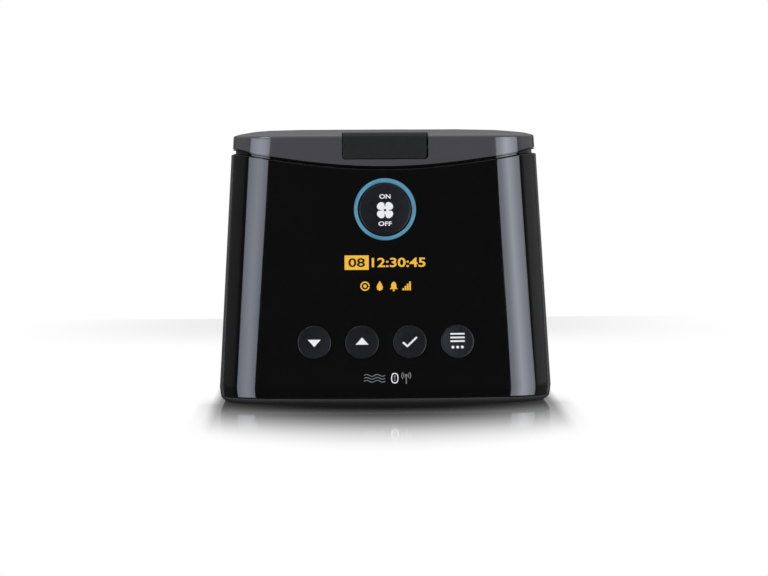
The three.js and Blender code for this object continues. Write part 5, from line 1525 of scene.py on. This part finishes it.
def status_icons(v):
    """Small signs of the display: target, drop, bell and rising bars"""
    icons = [arc(-11.3, v, 2.2, 0, 350, 0.75, 28), disc(-11.3, v, 0.95)]
    icons.append([(-3.2, v + 2.9), (-4.4, v + 0.9), (-4.95, v - 0.6), (-4.6, v - 1.9), (-3.2, v - 2.6),
                  (-1.8, v - 1.9), (-1.45, v - 0.6), (-2.0, v + 0.9)])
    bell = [(-2.2, -1.7), (2.2, -1.7), (1.5, -0.8), (1.4, 0.9), (0.8, 2.0), (0, 2.4), (-0.8, 2.0), (-1.4, 0.9),
            (-1.5, -0.8)]
    icons.append([(4.5 + a, v + b) for a, b in bell])
    icons.append(disc(4.5, v - 2.35, 0.55, 14))
    icons += [bar(9.7 + 1.25 * i, v - 2.4 + (1.2 + 1.2 * i) / 2, 0.95, 1.2 + 1.2 * i) for i in range(4)]
    return icons


def waves(u, v, width):
    """Generic breathing sign: three soft waves one above the other"""
    paths = []
    for level in (-1.6, 0, 1.6):
        path = [(u - width / 2 + width * i / 30, v + level + 0.5 * math.sin(i / 30 * 4 * math.pi)) for i in range(31)]
        paths.append(stroke(path, 0.36))
    return paths


def antenna(u, v):
    """Generic radio sign: a mast with two arcs on each side"""
    signs = [bar(u, v - 1.0, 0.5, 4.2), disc(u, v + 1.4, 0.75, 16)]
    for radius in (1.5, 2.5):
        signs.append(arc(u, v + 1.4, radius, -45, 45, 0.42, 9))
        signs.append(arc(u, v + 1.4, radius, 135, 225, 0.42, 9))
    return signs


def word(text, u, v, width, height):
    """Flat triangles of a word, fitted to a width and a height round a middle"""
    data = bpy.data.curves.new("word", "FONT")
    data.body = text
    data.resolution_u = 3
    data.offset = 0.02
    holder = placed("word", data)
    graph = bpy.context.evaluated_depsgraph_get()
    mesh = bpy.data.meshes.new_from_object(holder.evaluated_get(graph))
    points = np.array([v.co[:2] for v in mesh.vertices])
    faces = [tuple(p.vertices) for p in mesh.polygons]
    bpy.data.objects.remove(holder)
    low, high = points.min(axis=0), points.max(axis=0)
    points = (points - (low + high) / 2) / (high - low) * [width, height] + [u, v]
    return points, faces


def decal(name, finish, body, place, lift, words, shapes):
    """Raised symbols: each shape is an outline, or an outline followed by its hole"""
    work = bmesh.new()
    for points, faces in words:
        made = [work.verts.new((u, v, 0)) for u, v in points]
        for face in faces:
            work.faces.new([made[i] for i in face])
    for shape in shapes:
        loops = shape if isinstance(shape[0], list) else [shape]
        edges = []
        for loop in loops:
            made = [work.verts.new((u, v, 0)) for u, v in loop]
            edges += [work.edges.new((a, b)) for a, b in zip(made, made[1:] + made[:1])]
        bmesh.ops.triangle_fill(work, use_beauty=True, use_dissolve=False, edges=edges, normal=(0, 0, 1))
    bmesh.ops.recalc_face_normals(work, faces=work.faces)
    raised = bmesh.ops.extrude_face_region(work, geom=list(work.faces), use_keep_orig=True)["geom"]
    for vertex in (v for v in raised if isinstance(v, bmesh.types.BMVert)):
        vertex.co.z = 1
    for vertex in work.verts:
        u, v, top = vertex.co
        vertex.co = place(u, v, lift if top else -0.1 * MM)
    mesh = bpy.data.meshes.new(name)
    work.to_mesh(mesh)
    work.free()
    return finished(placed(name, mesh), finish, body)


class HousingOperator(bpy.types.Operator):
    """Makes the shell, the bay, the chamber and the covers with softened edges"""

    bl_idname = "cpap.housing"
    bl_label = "Housing"

    def execute(self, context):
        scale = context.scene.cpap_sizes.edge_softness * MM
        for name, (node, finish, width) in HOUSING.items():
            softened_node(name, node, finish, width * scale)
        return {"FINISHED"}


# Pieces with softened edges: node of the frame, finish, width of the softening in mm
HOUSING = {
    "case_shell": ("main_shell", "case_charcoal", 0.5),
    "humidifier_bay": ("chamber_bay", "inner_black", 0.5),
    "lid_lining": ("lid_liner", "inner_grey", 0.5),
    "lid_gasket": ("lid_seal", "silicone", 0.7),
    "water_tub": ("chamber_tub", "clear_plastic", 0.5),
    "water_cover": ("chamber_cover", "clear_plastic", 0.5),
    "filter_grille": ("filter_door", "case_charcoal", 0.4),
    "mains_socket": ("mains_inlet", "inner_black", 0.5),
    "service_flap": ("service_cover", "dark_rubber", 0.35),
}


def softened_node(name, node, finish, width):
    """A copy of one of the frame's nodes with rounded edges and even shading on its flat faces"""
    source = frame["nodes"][node]
    mesh = source.data.copy()
    work = bmesh.new()
    work.from_mesh(mesh)
    bmesh.ops.remove_doubles(work, verts=work.verts, dist=0.02 * MM)
    bmesh.ops.dissolve_limit(work, angle_limit=math.radians(0.4), verts=work.verts, edges=work.edges)
    work.to_mesh(mesh)
    work.free()
    piece = softened(placed(name, mesh), width)
    low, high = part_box(node)
    for vertex in piece.data.vertices:
        vertex.co = [min(max(c, a), b) for c, a, b in zip(vertex.co, low, high)]
    return evened(finished(piece, finish, source["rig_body"], node))


class ElbowOperator(bpy.types.Operator):
    """Makes the swivel elbow that the hose is pushed on to"""

    bl_idname = "cpap.elbow"
    bl_label = "Elbow"

    def execute(self, context):
        low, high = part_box("outlet_elbow")
        axis_z = high[2] - ELBOW_RADIUS
        bore = ELBOW_RADIUS - ELBOW_WALL
        edge = 0.5 * MM
        stations = [(0, low[2], 0), (0, axis_z - ELBOW_BEND, 0)]
        stations += [(ELBOW_BEND * (1 - math.cos(a)), axis_z - ELBOW_BEND * (1 - math.sin(a)), a)
                     for a in np.linspace(0, math.pi / 2, 15)[1:]]
        reach = high[1] - ELBOW_Y
        rows = []
        for radius, side in ((ELBOW_RADIUS, -1), (bore, 1)):
            row = [(*station, radius) for station in stations]
            row += [(reach - edge * (1 - math.sin(a)), axis_z, math.pi / 2, radius + side * edge * (1 - math.cos(a)))
                    for a in np.linspace(0, math.pi / 2, 5)]
            rows += row[::-side]
        tube = stack("outlet_tube", [self.ring(*row) for row in rows], looped=True)
        finished(tube, "inner_grey", "elbow", "outlet_elbow", sharp_angle=50)
        inner = ELBOW_RADIUS - 0.3 * MM
        collar = [(inner, 0), (14.2 * MM, 0), (14.6 * MM, 0.4 * MM), (14.6 * MM, 1.1 * MM), (14.3 * MM, 1.5 * MM),
                  (13.7 * MM, 1.7 * MM), (12.2 * MM, 1.7 * MM), (11.5 * MM, 2.0 * MM), (inner, 2.8 * MM)]
        seat = Matrix.Translation((ELBOW_X, ELBOW_Y, axis_z - ELBOW_COLLAR_DROP))
        finished(turned("elbow_collar", collar, seat, 64), "inner_grey", "elbow")
        return {"FINISHED"}

    def ring(self, forward, z, turn, radius, count=56):
        """Points round the tube's path, whose direction turns from up to the rear"""
        points = []
        for i in range(count):
            a = 2 * math.pi * i / count
            across = radius * math.sin(a)
            y = ELBOW_Y + forward + across * math.cos(turn)
            points.append((ELBOW_X + radius * math.cos(a), y, z - across * math.sin(turn)))
        return points


class NodesOperator(bpy.types.Operator):
    """Gives every node of the frame its finish, for those that no piece replaces"""

    bl_idname = "cpap.nodes"
    bl_label = "Inner parts"

    def execute(self, context):
        own_finishes = {"motor_stator": "wire", "transformer": "core_steel"}
        slots = {row["node"]: row["material_slot"] for row in frame["record"]["subparts"]}
        for name, node in frame["nodes"].items():
            finish = own_finishes.get(name, slots[name])
            node.data.materials.clear()
            node.data.materials.append(material_for(finish))
            node.data.shade_smooth()
            node.data.set_sharp_from_angle(angle=math.radians(40))
        return {"FINISHED"}


OPERATORS = (
    StageOperator, NodesOperator, FrontPanelOperator, KeysOperator, StartOperator, LidOperator, LatchOperator,
    BaseOperator, SymbolsOperator, HousingOperator, ElbowOperator,
)


class CpapPanel(bpy.types.Panel):
    """Lists the settings and the steps in the sidebar"""

    bl_label = "CPAP machine"
    bl_idname = "VIEW3D_PT_cpap"
    bl_space_type = "VIEW_3D"
    bl_region_type = "UI"
    bl_category = "CPAP"

    def draw(self, context):
        for group in (context.scene.cpap_sizes, context.scene.cpap_finishes, context.scene.cpap_stage):
            box = self.layout.box()
            for name in group.__annotations__:
                box.prop(group, name)
        for step in OPERATORS:
            self.layout.operator(step.bl_idname)


CLASSES = (CpapSizes, CpapFinishes, CpapStage, *OPERATORS, CpapPanel)


def register():
    for item in CLASSES:
        bpy.utils.register_class(item)
    bpy.types.Scene.cpap_sizes = PointerProperty(type=CpapSizes)
    bpy.types.Scene.cpap_finishes = PointerProperty(type=CpapFinishes)
    bpy.types.Scene.cpap_stage = PointerProperty(type=CpapStage)


def unregister():
    del bpy.types.Scene.cpap_sizes, bpy.types.Scene.cpap_finishes, bpy.types.Scene.cpap_stage
    for item in reversed(CLASSES):
        bpy.utils.unregister_class(item)


def main():
    register()
    for step in OPERATORS:
        group, name = step.bl_idname.split(".")
        getattr(getattr(bpy.ops, group), name)()


if __name__ == "__main__":
    main()
